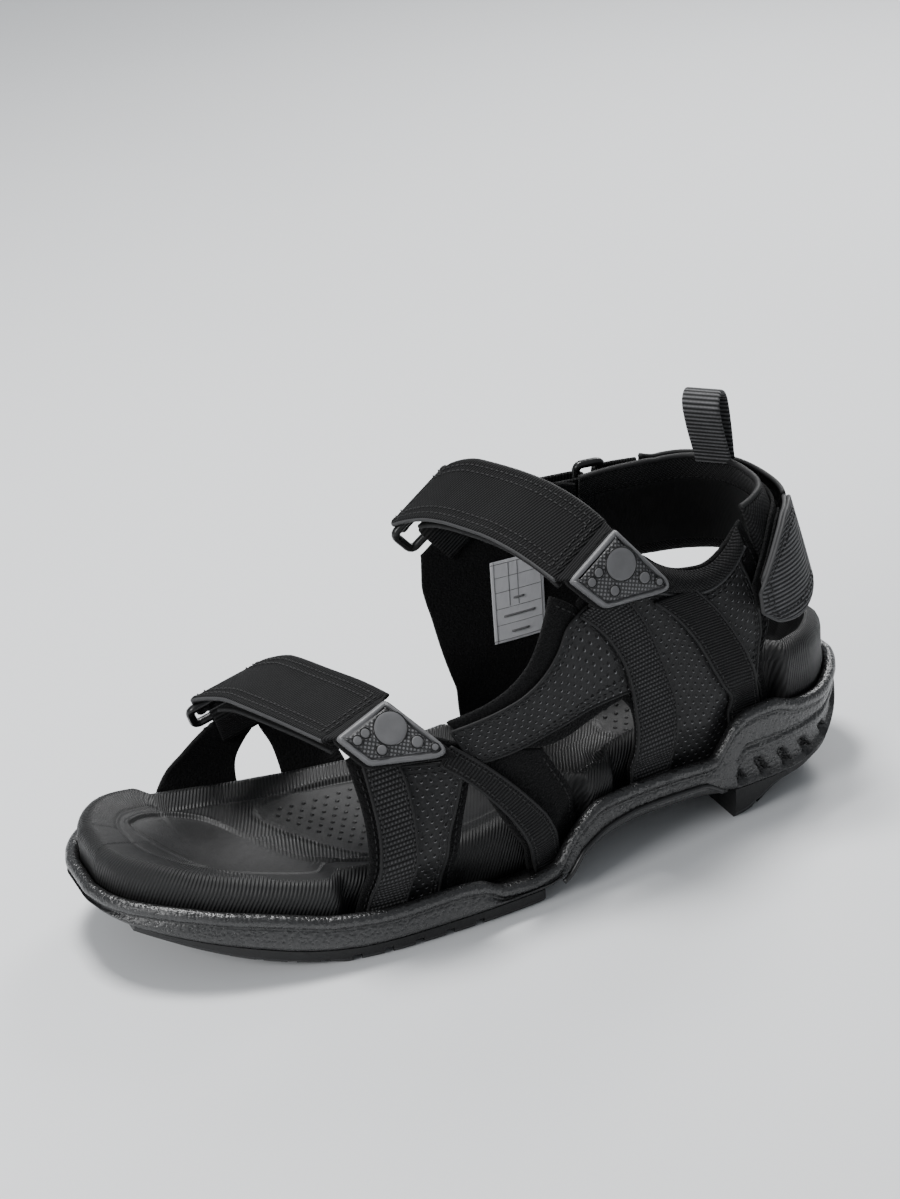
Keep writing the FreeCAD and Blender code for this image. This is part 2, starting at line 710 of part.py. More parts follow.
def make_heel_ring():
    centre, bar, ahead, out = heel_frame()
    return ring_between(centre, centre + ahead * ring_height, bar, out, heel_ring_width)


def make_heel_ring_keeper():
    centre, bar, ahead, out = heel_frame()
    keeper = centre + ahead * ring_height
    sections = turned_webbing(keeper, bar, out, ahead * -1, 0, 180, keeper_thick, heel_ring_width - 2)
    first = [p + ahead * keeper_tail for p in sections[0]]
    last = [p + ahead * keeper_tail for p in sections[-1]]
    return loft([first] + sections + [last])


def make_heel_strap_fold():
    """The heel strap's turn round the loop, run back to where it lies on the collar."""
    centre, bar, ahead, out = heel_frame()
    turn = turned_webbing(centre, bar, out, ahead, 0, fold_turn, heel_strap_thick, heel_ring_width)
    half = bar * (heel_ring_width / 2)
    near_radius = ring_bar_radius + ring_clear
    sections = list(reversed(turn))
    reach = spread(1.5, 14.0, 5)
    end_run = heel_ring_run + reach[-1]
    target = round_wall(end_run, heel_ring_z, heel_strap_level)
    start = centre + out * near_radius
    for d in reach:
        t = ease(d / reach[-1])
        straight = start - ahead * d
        near = straight * (1 - t) + target * t
        sections.append([near - half, near + half, near + half + out * heel_strap_thick,
                         near - half + out * heel_strap_thick])
    return loft(sections)


def pull_loop_frame():
    """Middle of the loop's base, and its directions: along the rim, outward and up."""
    z = 119.5
    base = round_wall(pull_loop_at, z, collar_thick / 2)
    along = round_wall(pull_loop_at + 3, z, collar_thick / 2) - round_wall(pull_loop_at - 3, z, collar_thick / 2)
    heading = math.atan2(along.y, along.x) + math.radians(pull_loop_twist)
    along = V(math.cos(heading), math.sin(heading), 0)
    out = V(-along.y, along.x, 0)
    lean = math.radians(pull_loop_lean)
    rise = V(0, 0, 1) * math.cos(lean) - along * math.sin(lean)
    return base, along, out, rise


def make_pull_loop():
    """Folded webbing loop that stands on the collar's rim."""
    base, along, out, rise = pull_loop_frame()
    radius = pull_loop_gap / 2
    straight = pull_loop_height - radius - pull_loop_thick
    points = []
    for r, reverse in ((radius, False), (radius + pull_loop_thick, True)):
        side = [base - out * r, base - out * r + rise * straight]
        for a in spread(165, 15, 7):
            ray = out * math.cos(math.radians(a)) + rise * math.sin(math.radians(a))
            side.append(base + rise * straight + ray * r)
        side += [base + out * r + rise * straight, base + out * r]
        points += list(reversed(side)) if reverse else side
    face = Part.Face(Part.makePolygon(points + [points[0]]))
    face.translate(along * (-pull_loop_width / 2))
    return face.extrude(along * pull_loop_width)


# ---------------------------------------------------------------- side panels, as (x, z) edges
def legs(points):
    """Adds the foot of a leg below its first point."""
    return [(points[0][0], foot_of(points[0][0]))] + points[1:]


lateral = {
    "lateral_forefoot_lining": (0, lining_thick, patch(
        legs([(-67, 0), (-61.5, 29), (-59.5, 40), (-59, 52), (-59.5, 62), (-60, 69)]),
        legs([(-31, 0), (-29, 28), (-27, 38), (-23.5, 49), (-20.5, 58), (-18.5, 65)]),
        high=[(-60, 69), (-48, 72), (-36, 73), (-26, 70), (-18.5, 65)])),
    "lateral_cross_lining": (0, lining_thick, patch(
        legs([(-1, 0), (-2, 20), (-7, 30), (-13, 42), (-17, 53), (-17, 65)]),
        legs([(21, 0), (19.5, 27), (17, 38), (11, 50), (7, 58)]))),
    "lateral_band_lining": (0, lining_thick, patch(
        [(-16, 67), (-21, 74), (-28, 82)],
        [(41, 63.5), (39.5, 78), (34, 91), (25, 103), (17, 110)],
        low=[(-16, 67), (-6, 64.5), (8, 59.5), (18, 59.5), (28, 62), (41, 63.5)],
        high=[(-28, 82), (-14, 82), (-2, 85), (7, 91), (13, 100), (17, 110)])),
    "lateral_quarter_lining": (0, lining_thick, patch(
        legs([(43.5, 0), (46, 40), (47, 50), (46, 58), (42.5, 64.5), (41, 78), (35.5, 92), (27, 104)]),
        legs([(106, 0), (104, 50), (101.5, 57), (102, 64), (105, 72), (103.5, 86), (99.5, 100), (96, 113)]),
        high=[(27, 104), (36, 110), (46, 115), (54, 114), (62, 108), (72, 103), (82, 102), (90, 106),
              (96, 113)], across=13, up=15)),
    "lateral_forefoot_overlay": (leather_level, leather_thick, patch(
        legs([(-61, 0), (-57.5, 30), (-55.5, 42), (-55, 54), (-56, 66)]),
        legs([(-37, 0), (-34, 27), (-32, 37), (-28, 47), (-24, 57), (-22, 63)]))),
    "lateral_band_overlay": (leather_level, leather_thick, patch(
        [(-17, 70), (-21, 74.5), (-25, 79)],
        [(39, 69), (36.5, 80), (30.5, 91), (22, 101)],
        low=[(-17, 70), (-6, 67.5), (4, 66.5), (15, 68), (27, 69.5), (39, 69)],
        high=[(-25, 79), (-10, 78.5), (6, 82), (15, 89), (22, 101)])),
    "lateral_quarter_overlay": (leather_level, leather_thick, patch(
        legs([(48, 0), (50, 45), (50, 60), (46, 70), (44, 80), (38, 93), (31, 103)]),
        legs([(103, 0), (100.5, 50), (98.5, 57), (98.5, 64), (101, 72), (99.5, 86), (96, 97), (93, 106)]),
        high=[(31, 103), (42, 107), (52, 107), (62, 101), (72, 96.5), (82, 95), (89, 99), (93, 106)],
        across=11, up=12)),
    "lateral_front_webbing": (webbing_level, webbing_thick, patch(
        legs([(-64, 0), (-60, 27), (-57, 38), (-56, 49), (-56, 60), (-56, 67)]),
        legs([(-50, 0), (-47, 24), (-44, 38), (-43, 51), (-43, 61), (-45, 69)]))),
    "lateral_cross_webbing": (webbing_level, webbing_thick, patch(
        legs([(0, 0), (-2, 22), (-7, 34), (-14, 45), (-24, 57), (-31, 63)]),
        legs([(11, 0), (6, 31), (-2, 44), (-11, 55), (-19, 63), (-26, 69)]))),
    "lateral_quarter_front_webbing": (webbing_level, webbing_thick, patch(
        legs([(43.5, 0), (46, 38), (49, 49), (50, 63), (48, 77), (44, 87), (38, 95), (32, 101)]),
        legs([(59, 0), (62, 42), (62.5, 55), (60, 67), (57, 78), (54, 87), (49, 97), (43, 105)]))),
    "lateral_quarter_rear_webbing": (webbing_level, webbing_thick, patch(
        legs([(87, 0), (85, 50), (80, 61), (73, 76), (65, 88), (57, 96)]),
        legs([(101, 0), (98.5, 50), (95, 62), (90, 73), (83, 85), (74, 96)]))),
}
medial = {
    "medial_toe_leg_lining": (0, lining_thick, patch(
        legs([(-109, 0), (-106, 33), (-101, 39), (-95, 44), (-90, 49), (-85, 53.5)]),
        legs([(-75, 0), (-75, 28), (-73.5, 36), (-70, 43), (-66, 50), (-65.3, 59)]))),
    "medial_ball_leg_lining": (0, lining_thick, patch(
        legs([(-57, 0), (-57.5, 28), (-59, 36), (-62, 43), (-64.5, 50), (-64.8, 59.2)]),
        legs([(-32, 0), (-35, 27), (-40, 37), (-46, 46), (-53, 54), (-58, 61)]))),
    "medial_toe_leg_overlay": (leather_level, leather_thick, patch(
        legs([(-105, 0), (-102, 34), (-97, 39), (-91, 44), (-86, 48), (-82, 52.5)]),
        legs([(-79, 0), (-79, 28), (-77, 36), (-73, 43), (-68, 50), (-66, 57)]))),
    "medial_ball_leg_overlay": (leather_level, leather_thick, patch(
        legs([(-53, 0), (-53.5, 28), (-55.5, 36), (-59, 43), (-62, 50), (-63.5, 57.5)]),
        legs([(-36, 0), (-39, 27), (-43, 36), (-49, 44), (-55, 51), (-60, 58.5)]))),
    "medial_toe_leg_webbing": (webbing_level, webbing_thick, patch(
        legs([(-101, 0), (-98, 32), (-93, 37.5), (-87, 41.5), (-82, 43.5)]),
        legs([(-84, 0), (-82, 29), (-79, 34), (-75, 40), (-71, 46)]))),
    "medial_ball_leg_webbing": (webbing_level, webbing_thick, patch(
        legs([(-51, 0), (-52, 28), (-55, 36), (-58.5, 42), (-62.5, 48)]),
        legs([(-38, 0), (-41, 27), (-45, 35), (-50, 42), (-56, 49.5)]))),
    "medial_quarter_lining": (0, lining_thick, patch(
        legs([(11, 0), (10.5, 44), (9, 50), (6, 62), (3, 77), (0.5, 90), (1, 102)]),
        legs([(72, 0), (71, 50), (68, 65), (64, 78), (62, 98), (61.5, 116)]),
        high=[(1, 102), (12.5, 111.5), (23, 119), (40, 121), (61.5, 116)], across=12, up=15)),
    "medial_quarter_overlay": (leather_level, leather_thick, patch(
        legs([(16, 0), (15, 50), (11, 64), (8, 78), (5, 90), (5, 99)]),
        legs([(67, 0), (66, 50), (63, 65), (59.5, 80), (57, 96), (55, 109)]),
        high=[(5, 99), (13, 107), (24, 115), (40, 116), (55, 109)], across=12, up=15)),
    "medial_quarter_front_webbing": (webbing_level, webbing_thick, patch(
        legs([(20, 0), (19, 45), (15, 62), (11, 80), (10, 94)]),
        legs([(35, 0), (34, 45), (31, 65), (29, 85), (29, 109)]))),
    "medial_quarter_rear_webbing": (webbing_level, webbing_thick, patch(
        legs([(50, 0), (48, 50), (46, 68), (45, 84)]),
        legs([(64, 0), (62, 50), (58, 68), (56, 84)]))),
}
label_centre = (36.5, 76.5)

front_tab_corners = [(-66, -38, 82), (-45, -33, 88), (-27, -50, 69), (-57, -44, 71.5)]
ankle_tab_corners = [(22, -41, 117), (43, -36, 129), (62, -44, 104), (33, -45, 105)]


# ---------------------------------------------------------------- build every piece
def build():
    pockets = [leg_pocket(-1, -70, 23), leg_pocket(-1, 41, 109), leg_pocket(1, -112, -29),
               leg_pocket(1, 8, 75)]
    nodes["outsole_forefoot"] = make_outsole_forefoot()
    nodes["outsole_heel"] = make_outsole_heel()
    nodes["shank_plate"] = make_shank_plate()
    nodes["midsole"] = make_midsole()
    nodes["footbed"] = make_footbed(pockets)
    for name, (level, thick, grid) in lateral.items():
        nodes[name] = side_panel(-1, grid, level, thick)
    for name, (level, thick, grid) in medial.items():
        nodes[name] = side_panel(1, grid, level, thick)
    x, z = label_centre
    half_w = label_width / 2
    half_h = label_height / 2
    grid = patch([(x - half_w, z - half_h), (x - half_w, z + half_h)],
                 [(x + half_w, z - half_h), (x + half_w, z + half_h)], across=4, up=4)
    nodes["size_label"] = side_panel(1, grid, -glue_gap - label_thick, label_thick)
    for name, strap, corners in (("front", front_strap, front_tab_corners),
                                 ("ankle", ankle_strap, ankle_tab_corners)):
        nodes[name + "_strap_base"] = strap.base()
        nodes[name + "_strap"] = strap.flap()
        nodes[name + "_hook_pad"] = strap.hook_pad()
        nodes[name + "_loop_pad"] = strap.loop_pad()
        nodes[name + "_ring"] = strap.ring()
        nodes[name + "_ring_keeper"] = strap.ring_keeper()
        nodes[name + "_strap_tab"] = tab(corners, 1.5, tab_thick, -glue_gap)
    nodes["heel_collar"] = make_heel_collar()
    nodes["heel_strap_base"] = heel_band(-6, 172, heel_base_level, heel_base_thick, 1.0, 21)
    nodes["heel_strap_fold"] = make_heel_strap_fold()
    nodes["heel_strap"] = heel_band(-2, heel_split, heel_strap_level, heel_strap_thick)
    nodes["heel_strap_end"] = heel_band(heel_split + 1.2, 170, heel_strap_level, heel_strap_thick, 1.0)
    nodes["heel_strap_tab"] = heel_band(136, 174, heel_tab_level, heel_tab_thick, 0.0, 11)
    nodes["heel_loop_pad"] = heel_band(126, 168, heel_loop_level, heel_pad_thick, 3.0, 9)
    nodes["heel_hook_pad"] = heel_band(126, 166, heel_hook_level, heel_pad_thick, 3.5, 9)
    nodes["heel_ring"] = make_heel_ring()
    nodes["heel_ring_keeper"] = make_heel_ring_keeper()
    nodes["pull_loop"] = make_pull_loop()


build()
os.makedirs("parts", exist_ok=True)
for name, shape in nodes.items():
    shape.exportStep("parts/" + name + ".step")
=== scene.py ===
import math

import bmesh
import bpy
import numpy as np
from mathutils import Matrix, Vector


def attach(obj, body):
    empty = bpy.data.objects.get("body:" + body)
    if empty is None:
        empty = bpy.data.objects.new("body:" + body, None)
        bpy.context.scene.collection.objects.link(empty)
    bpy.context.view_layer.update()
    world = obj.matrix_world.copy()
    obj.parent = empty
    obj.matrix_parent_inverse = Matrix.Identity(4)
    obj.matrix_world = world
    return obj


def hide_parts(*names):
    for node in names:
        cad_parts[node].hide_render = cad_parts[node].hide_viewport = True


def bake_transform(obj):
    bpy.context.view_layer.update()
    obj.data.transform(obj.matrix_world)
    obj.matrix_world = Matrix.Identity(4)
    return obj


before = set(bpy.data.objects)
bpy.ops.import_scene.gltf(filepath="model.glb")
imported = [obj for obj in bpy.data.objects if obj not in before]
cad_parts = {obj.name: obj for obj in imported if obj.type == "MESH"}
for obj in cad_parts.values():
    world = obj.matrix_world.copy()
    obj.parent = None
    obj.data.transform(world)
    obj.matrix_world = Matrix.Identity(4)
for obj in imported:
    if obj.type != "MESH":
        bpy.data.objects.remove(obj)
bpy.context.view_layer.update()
MM = 0.001


# ---------------------------------------------------------------- sizes of the sandal, as in the CAD source
sole_length = 296.0
bead_wall = 4.9
glue_gap = 0.35
lining_thick = 1.8
leather_thick = 1.0
webbing_thick = 1.5
upper_bulge = 4.0
tuck_depth = 1.0
strap_thick = 2.0
strap_base_thick = 1.6
pad_thick = 1.3
fastener_clear = 0.4
tab_thick = 2.8
tab_seam = 0.045
fold_turn = 170.0
strap_width = 28.0
ring_bar_radius = 1.6
ring_clear = 0.4
ring_side_clear = 1.2
ring_height = 10.0
ring_side = 3.0
keeper_thick = 1.4
keeper_tail = 13.0
keeper_width = 20.0
collar_thick = 4.5
heel_base_thick = 1.2
heel_pad_thick = 0.9
heel_strap_thick = 1.6
heel_tab_thick = 1.4
heel_ring_level = 8.9
heel_ring_width = 25.0
pull_loop_width = 14.0
pull_loop_height = 25.5
pull_loop_gap = 9.0
pull_loop_at = 57.0
pull_loop_lean = 8.0
pull_loop_twist = 13.0
pull_loop_thick = 1.6
label_width = 21.0
label_height = 34.0
label_thick = 0.5


def curve(points):
    """Smooth curve through (position, value) points that never overshoots them."""
    xs = [p[0] for p in points]
    ys = [p[1] for p in points]
    count = len(xs)
    step = [xs[i + 1] - xs[i] for i in range(count - 1)]
    rise = [(ys[i + 1] - ys[i]) / step[i] for i in range(count - 1)]
    slope = [rise[0]] + [0.0] * (count - 2) + [rise[-1]]
    for i in range(1, count - 1):
        if rise[i - 1] * rise[i] > 0:
            left = 2 * step[i] + step[i - 1]
            right = step[i] + 2 * step[i - 1]
            slope[i] = (left + right) / (left / rise[i - 1] + right / rise[i])

    def value(x):
        x = min(max(x, xs[0]), xs[-1])
        i = 0
        while i < count - 2 and x > xs[i + 1]:
            i += 1
        t = (x - xs[i]) / step[i]
        a = (1 + 2 * t) * (1 - t) ** 2 * ys[i] + t * (1 - t) ** 2 * step[i] * slope[i]
        b = t * t * (3 - 2 * t) * ys[i + 1] + t * t * (t - 1) * step[i] * slope[i + 1]
        return a + b

    return value


def path(points):
    """Smooth path through a list of tuples, run from 0 to 1 by its length."""
    run = [0.0]
    for a, b in zip(points, points[1:]):
        run.append(run[-1] + math.dist(a, b))
    axes = [curve([(s / run[-1], p[k]) for s, p in zip(run, points)]) for k in range(len(points[0]))]
    return lambda t: tuple(axis(t) for axis in axes)


def ease(t):
    t = min(max(t, 0.0), 1.0)
    return t * t * (3 - 2 * t)


def spread(first, last, count):
    return [first + (last - first) * i / (count - 1) for i in range(count)]


lateral_edge = curve([(-148, -1), (-144.5, 10), (-135, 23), (-120, 34), (-100, 42.5), (-75, 49.5), (-50, 53),
                      (-25, 53.5), (-5, 52.8), (15, 50), (40, 45), (75, 42), (105, 40), (126, 34), (138, 24),
                      (145.5, 13), (148, 7)])
medial_edge = curve([(-148, 21), (-144.5, 31), (-135, 42), (-118, 49), (-100, 52), (-75, 53.5), (-50, 51.5),
                     (-25, 46), (-5, 41), (15, 38), (40, 37), (75, 38.5), (105, 38), (126, 33), (138, 23),
                     (145.5, 13), (148, 7)])
bead_top = curve([(-148, 31.5), (-134, 31), (-124, 30), (-114, 28), (-103, 26), (-91, 23.5), (-75, 20),
                  (-54, 18.5), (-32, 19), (-23, 18), (-14, 13.5), (-3, 12.5), (7, 14), (14, 22), (20, 27),
                  (29, 31), (44, 31), (60, 30.5), (76, 29.5), (82, 36), (86, 41), (93, 44.5), (102, 45),
                  (114, 41), (128, 39.5), (148, 40)])
midsole_bottom = curve([(-148, 23.5), (-130, 19.5), (-117, 16), (-100, 11.5), (-88, 8.6), (-75, 6.6),
                        (-65, 5.8), (2, 5.8), (12, 7.5), (20, 12), (30, 16), (45, 17.5), (70, 16.5),
                        (80, 14.5), (88, 13), (112, 13), (126, 15.5), (138, 20), (148, 29)])
cup_floor = curve([(-148, 27), (-130, 24), (-117, 20.5), (-100, 16.5), (-88, 13.5), (-75, 11.2),
                   (-60, 9.8), (5, 9.8), (15, 13), (30, 20), (45, 21), (76, 21), (90, 23), (110, 24),
                   (130, 26), (148, 31)])
footbed_rim = curve([(-148, 44), (-132, 43), (-112, 38.5), (-94, 34.5), (-72, 30.5), (-50, 29), (-20, 30),
                     (10, 35), (40, 41), (75, 48), (95, 56), (112, 61), (130, 60), (148, 57)])
footbed_sink = curve([(-148, 2), (-110, 4), (-50, 5), (10, 8), (60, 13), (100, 22), (125, 22), (139, 12),
                      (148, 6)])
lean_lateral = curve([(-110, 27), (-55, 26), (-20, 18), (0, 12), (20, 9), (40, 9), (62, 9), (92, 10)])
lean_medial = curve([(-110, 26), (-60, 24), (-30, 10), (-8, 4), (10, 1.5), (40, 3), (92, 9)])
lean_height = curve([(-110, 78), (-90, 80), (-55, 88), (0, 115), (40, 128), (92, 120)])
lean_foot = 20.0
lean_power = 2.16
upper_inset = 10.8
heel_turn = 92.0
heel_power = 2.3
heel_back_low = 128.5
heel_back_height = 60.0
heel_back_slope = 0.25


def side_y(side, x, z):
    """Distance from the middle of the lining's inner face. side is -1 lateral, 1 medial."""
    edge = (medial_edge if side > 0 else lateral_edge)(x)
    lean = (lean_medial if side > 0 else lean_lateral)(x)
    rise = min(max((z - lean_foot) / (lean_height(x) - lean_foot), 0.0), 1.35)
    swell = upper_bulge * ease((z - bead_top(x) - 2) / 14)
    y = edge - upper_inset + swell - lean * rise ** lean_power
    if x > heel_turn:
        run = min((x - heel_turn) / heel_reach(z), 0.98)
        turned = side_y(side, heel_turn, z) * (1 - run ** heel_power) ** (1 / heel_power)
        above_cup = ease((z - 50) / 22)
        y = y * (1 - above_cup) + turned * above_cup
    return y


def heel_reach(z):
    """From the start of the heel's turn back to the inside of the heel at height z."""
    return heel_back_low - heel_back_slope * (z - heel_back_height) - heel_turn


def wall(side, x, z, level=0.0):
    """Point on the upper at station x and height z, level outward from the lining's inner face."""
    step = 0.5
    y = side_y(side, x, z)
    dx = (side_y(side, x + step, z) - side_y(side, x - step, z)) / (2 * step)
    dz = (side_y(side, x, z + step) - side_y(side, x, z - step)) / (2 * step)
    point = Vector((x, y, z)) + Vector((-dx, 1, -dz)).normalized() * level
    return Vector((point.x, point.y * side, point.z))


def heel_wall(angle, z, level=0.0):
    """Point round the heel: 0 degrees is the medial side, 90 the back, 180 the lateral side."""
    reach = heel_reach(z) + level
    c = math.cos(math.radians(angle))
    s = abs(math.sin(math.radians(angle)))
    side = 1 if c >= 0 else -1
    half = side_y(side, heel_turn, z) + level
    return Vector((heel_turn + reach * s ** (2 / heel_power), side * half * abs(c) ** (2 / heel_power), z))


def round_wall(run, z, level=0.0):
    """Follows the medial side, the heel and the lateral side, as in the CAD source."""
    if run < 0:
        return wall(1, heel_turn + run, z, level)
    if run > 180:
        return wall(-1, heel_turn - (run - 180), z, level)
    return heel_wall(run, z, level)


def foot_of(x):
    return cup_floor(x) + tuck_depth


def patch(front, rear, low=None, high=None, across=8, up=13):
    """Grid of (x, z) between a front and a rear edge, each a list of points from the bottom up."""
    left = path(front)
    right = path(rear)
    on_floor = front[0][1] == foot_of(front[0][0]) and rear[0][1] == foot_of(rear[0][0])
    if low is None and on_floor:
        low = [(x, foot_of(x)) for x in spread(front[0][0], rear[0][0], 8)]
    bottom = path(low or [front[0], rear[0]])
    top = path(high or [front[-1], rear[-1]])
    grid = []
    for t in spread(0, 1, up):
        row = []
        for s in spread(0, 1, across):
            x, z = [(1 - s) * left(t)[k] + s * right(t)[k] + (1 - t) * bottom(s)[k] + t * top(s)[k]
                    - (1 - s) * (1 - t) * bottom(0)[k] - s * (1 - t) * bottom(1)[k]
                    - (1 - s) * t * top(0)[k] - s * t * top(1)[k] for k in (0, 1)]
            row.append((x, z))
        grid.append(row)
    return grid


# ---------------------------------------------------------------- mesh tools
def resample(rows, count):
    """count samples, evenly spaced by row, of a Catmull-Rom spline through an array's rows."""
    a = np.concatenate([[2 * rows[0] - rows[1]], rows, [2 * rows[-1] - rows[-2]]])
    x = np.linspace(0, len(rows) - 1, count)
    i = np.minimum(x.astype(int), len(rows) - 2)
    t = (x - i).reshape((-1,) + (1,) * (a.ndim - 1))
    p0, p1, p2, p3 = a[i], a[i + 1], a[i + 2], a[i + 3]
    return 0.5 * (2 * p1 + (p2 - p0) * t + (2 * p0 - 5 * p1 + 4 * p2 - p3) * t ** 2
                  + (3 * p1 - p0 - 3 * p2 + p3) * t ** 3)


def unit(v):
    return v / np.maximum(np.linalg.norm(v, axis=-1, keepdims=True), 1e-9)


def even_loop(points, count):
    """count evenly spaced points round a closed loop, with their distance along it."""
    points = np.asarray(points, float)
    step = np.linalg.norm(np.roll(points, -1, 0) - points, axis=1)
    run = np.concatenate([[0], np.cumsum(step)])
    closed = np.concatenate([points, points[:1]])
    at = np.linspace(0, run[-1], count, endpoint=False)
    return np.stack([np.interp(at, run, closed[:, k]) for k in range(points.shape[1])], -1), at


class Surface:
    """A grid of points with normals: rows run up, columns across. Lengths are in mm."""

    def __init__(self, grid, outward, rows=0, cols=0):
        grid = np.array(grid, float)
        size = np.linalg.norm(np.diff(grid, axis=0), axis=2).sum(0).mean()
        width = np.linalg.norm(np.diff(grid, axis=1), axis=2).sum(1).mean()
        rows = rows or max(6, int(size / 1.3))
        cols = cols or max(6, int(width / 1.3))
        self.p = resample(resample(grid, rows).swapaxes(0, 1), cols).swapaxes(0, 1)
        self.n = unit(np.cross(np.gradient(self.p, axis=1), np.gradient(self.p, axis=0)))
        if (self.n * (self.p - np.array(outward))).sum() < 0:
            self.n = -self.n
        across = np.linalg.norm(np.diff(self.p, axis=1), axis=2)
        up = np.linalg.norm(np.diff(self.p, axis=0), axis=2)
        self.width = across.sum(1)
        self.length = up.sum(0).mean()
        u = np.concatenate([np.zeros((rows, 1)), np.cumsum(across, 1)], 1)
        u = u - self.width[:, None] / 2
        v = np.concatenate([[0], np.cumsum(up.mean(1))])[:, None] + np.zeros((1, cols))
        self.uv = np.stack([u, v], -1)

    def line(self, edge, inset, level, start=0.0, end=0.0):
        """Points and normals along an edge, inset from it. start and end trim the line in mm."""
        rows, cols, _ = self.p.shape
        if edge in ("front", "rear"):
            share = np.clip(inset / self.width, 0, 0.5) * (cols - 1)
            at = share if edge == "front" else cols - 1 - share
            i = np.minimum(at.astype(int), cols - 2)
            t = (at - i)[:, None]
            k = np.arange(rows)
            p = self.p[k, i] * (1 - t) + self.p[k, i + 1] * t
            n = self.n[k, i] * (1 - t) + self.n[k, i + 1] * t
        else:
            share = min(inset / self.length, 0.5) * (rows - 1)
            at = share if edge == "low" else rows - 1 - share
            i = min(int(at), rows - 2)
            t = at - i
            p = self.p[i] * (1 - t) + self.p[i + 1] * t
            n = self.n[i] * (1 - t) + self.n[i + 1] * t
        n = unit(n)
        p = p + n * level
        run = np.concatenate([[0], np.cumsum(np.linalg.norm(np.diff(p, axis=0), axis=1))])
        keep = (run >= start) & (run <= run[-1] - end)
        return p[keep], n[keep]


class Mesh:
    """Collects points, faces and UVs of one piece."""

    def __init__(self):
        self.points = []
        self.faces = []
        self.uvs = []
        self.zones = []
        self.count = 0

    def add(self, points, faces, uv=None, zone=None):
        points = np.asarray(points, float).reshape(-1, 3)
        self.points.append(points)
        self.uvs.append(np.zeros((len(points), 2)) if uv is None else np.asarray(uv, float).reshape(-1, 2))
        self.zones.append(np.zeros(len(points)) if zone is None else np.asarray(zone, float).ravel())
        self.faces += [[i + self.count for i in f] for f in faces]
        self.count += len(points)
        return self

    def build(self, name, body, material, slot, replaces=(), smooth=True, weld=0.0, angle=None):
        points = np.concatenate(self.points) * MM
        data = bpy.data.meshes.new(name)
        data.from_pydata(points.tolist(), [], self.faces)
        loops = np.zeros(len(data.loops), np.int32)
        data.loops.foreach_get("vertex_index", loops)
        layer = data.uv_layers.new(name="UVMap")
        layer.data.foreach_set("uv", np.concatenate(self.uvs)[loops].astype(np.float32).ravel())
        zone = np.concatenate(self.zones)
        if zone.any():
            data.attributes.new("zone", "FLOAT", "POINT").data.foreach_set("value", zone.astype(np.float32))
        data.polygons.foreach_set("use_smooth", [smooth] * len(data.polygons))
        data.materials.append(material)
        data.validate()
        face_outward(data)
        piece = bpy.data.objects.new(name, data)
        bpy.context.scene.collection.objects.link(piece)
        if weld:
            weld_points(piece, weld * MM)
        if angle:
            data.set_sharp_from_angle(angle=math.radians(angle))
        if body:
            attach(piece, body)
        if replaces:
            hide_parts(*replaces)
        return piece


def face_outward(data):
    work = bmesh.new()
    work.from_mesh(data)
    bmesh.ops.recalc_face_normals(work, faces=work.faces)
    work.to_mesh(data)
    work.free()


def weld_points(piece, distance):
    work = bmesh.new()
    work.from_mesh(piece.data)
    bmesh.ops.remove_doubles(work, verts=work.verts, dist=distance)
    work.to_mesh(piece.data)
    work.free()


def quads(rows, cols, offset=0, flip=False, wrap=False):
    """Faces of a grid of rows x cols points. wrap joins the last column to the first."""
    faces = []
    for r in range(rows - 1):
        for c in range(cols if wrap else cols - 1):
            a = offset + r * cols + c
            b = offset + r * cols + (c + 1) % cols
            face = [a, b, b + cols, a + cols]
            faces.append(face[::-1] if flip else face)
    return faces


def sheet(mesh, surface, level, thick, shape=None):
    """Closed sheet with rounded edges, from level to level + thick. shape lifts the outer face, in mm."""
    p, n, uv = surface.p.copy(), surface.n, surface.uv
    rows, cols, _ = p.shape
    r = thick / 2
    inward = np.zeros_like(p)
    inward[:, 0] += unit(p[:, 1] - p[:, 0])
    inward[:, -1] += unit(p[:, -2] - p[:, -1])
    inward[0] += unit(p[1] - p[0])
    inward[-1] += unit(p[-2] - p[-1])
    p += inward * min(r, 0.45)
    lift = np.zeros((rows, cols)) if shape is None else shape
    top = p + n * (level + thick + lift)[..., None] if shape is not None else p + n * (level + thick)
    low = p + n * level
    ring = [(0, c) for c in range(cols)] + [(k, cols - 1) for k in range(1, rows)]
    ring += [(rows - 1, c) for c in range(cols - 2, -1, -1)] + [(k, 0) for k in range(rows - 2, 0, -1)]
    ri = np.array([a for a, _ in ring])
    ci = np.array([b for _, b in ring])
    out = -unit(inward[ri, ci])
    arcs = []
    arc_uv = []
    for angle in (50, 0, -50):
        a = math.radians(angle)
        arcs.append(p[ri, ci] + n[ri, ci] * (level + r + r * math.sin(a)) + out * r * math.cos(a))
        arc_uv.append(uv[ri, ci])
    size = rows * cols
    points = np.concatenate([top.reshape(-1, 3), low.reshape(-1, 3)] + arcs)
    uvs = np.concatenate([uv.reshape(-1, 2), uv.reshape(-1, 2)] + arc_uv)
    faces = quads(rows, cols) + quads(rows, cols, size, flip=True)
    loop = [a * cols + b for a, b in ring]
    loops = [loop] + [[2 * size + k * len(ring) + j for j in range(len(ring))] for k in range(3)]
    loops.append([size + j for j in loop])
    for first, second in zip(loops, loops[1:]):
        for j in range(len(ring)):
            k = (j + 1) % len(ring)
            faces.append([first[k], first[j], second[j], second[k]])
    if np.cross(surface.p[0, 1] - surface.p[0, 0], surface.p[1, 0] - surface.p[0, 0]) @ surface.n[0, 0] < 0:
        faces = [f[::-1] for f in faces]
    return mesh.add(points, faces, uvs)


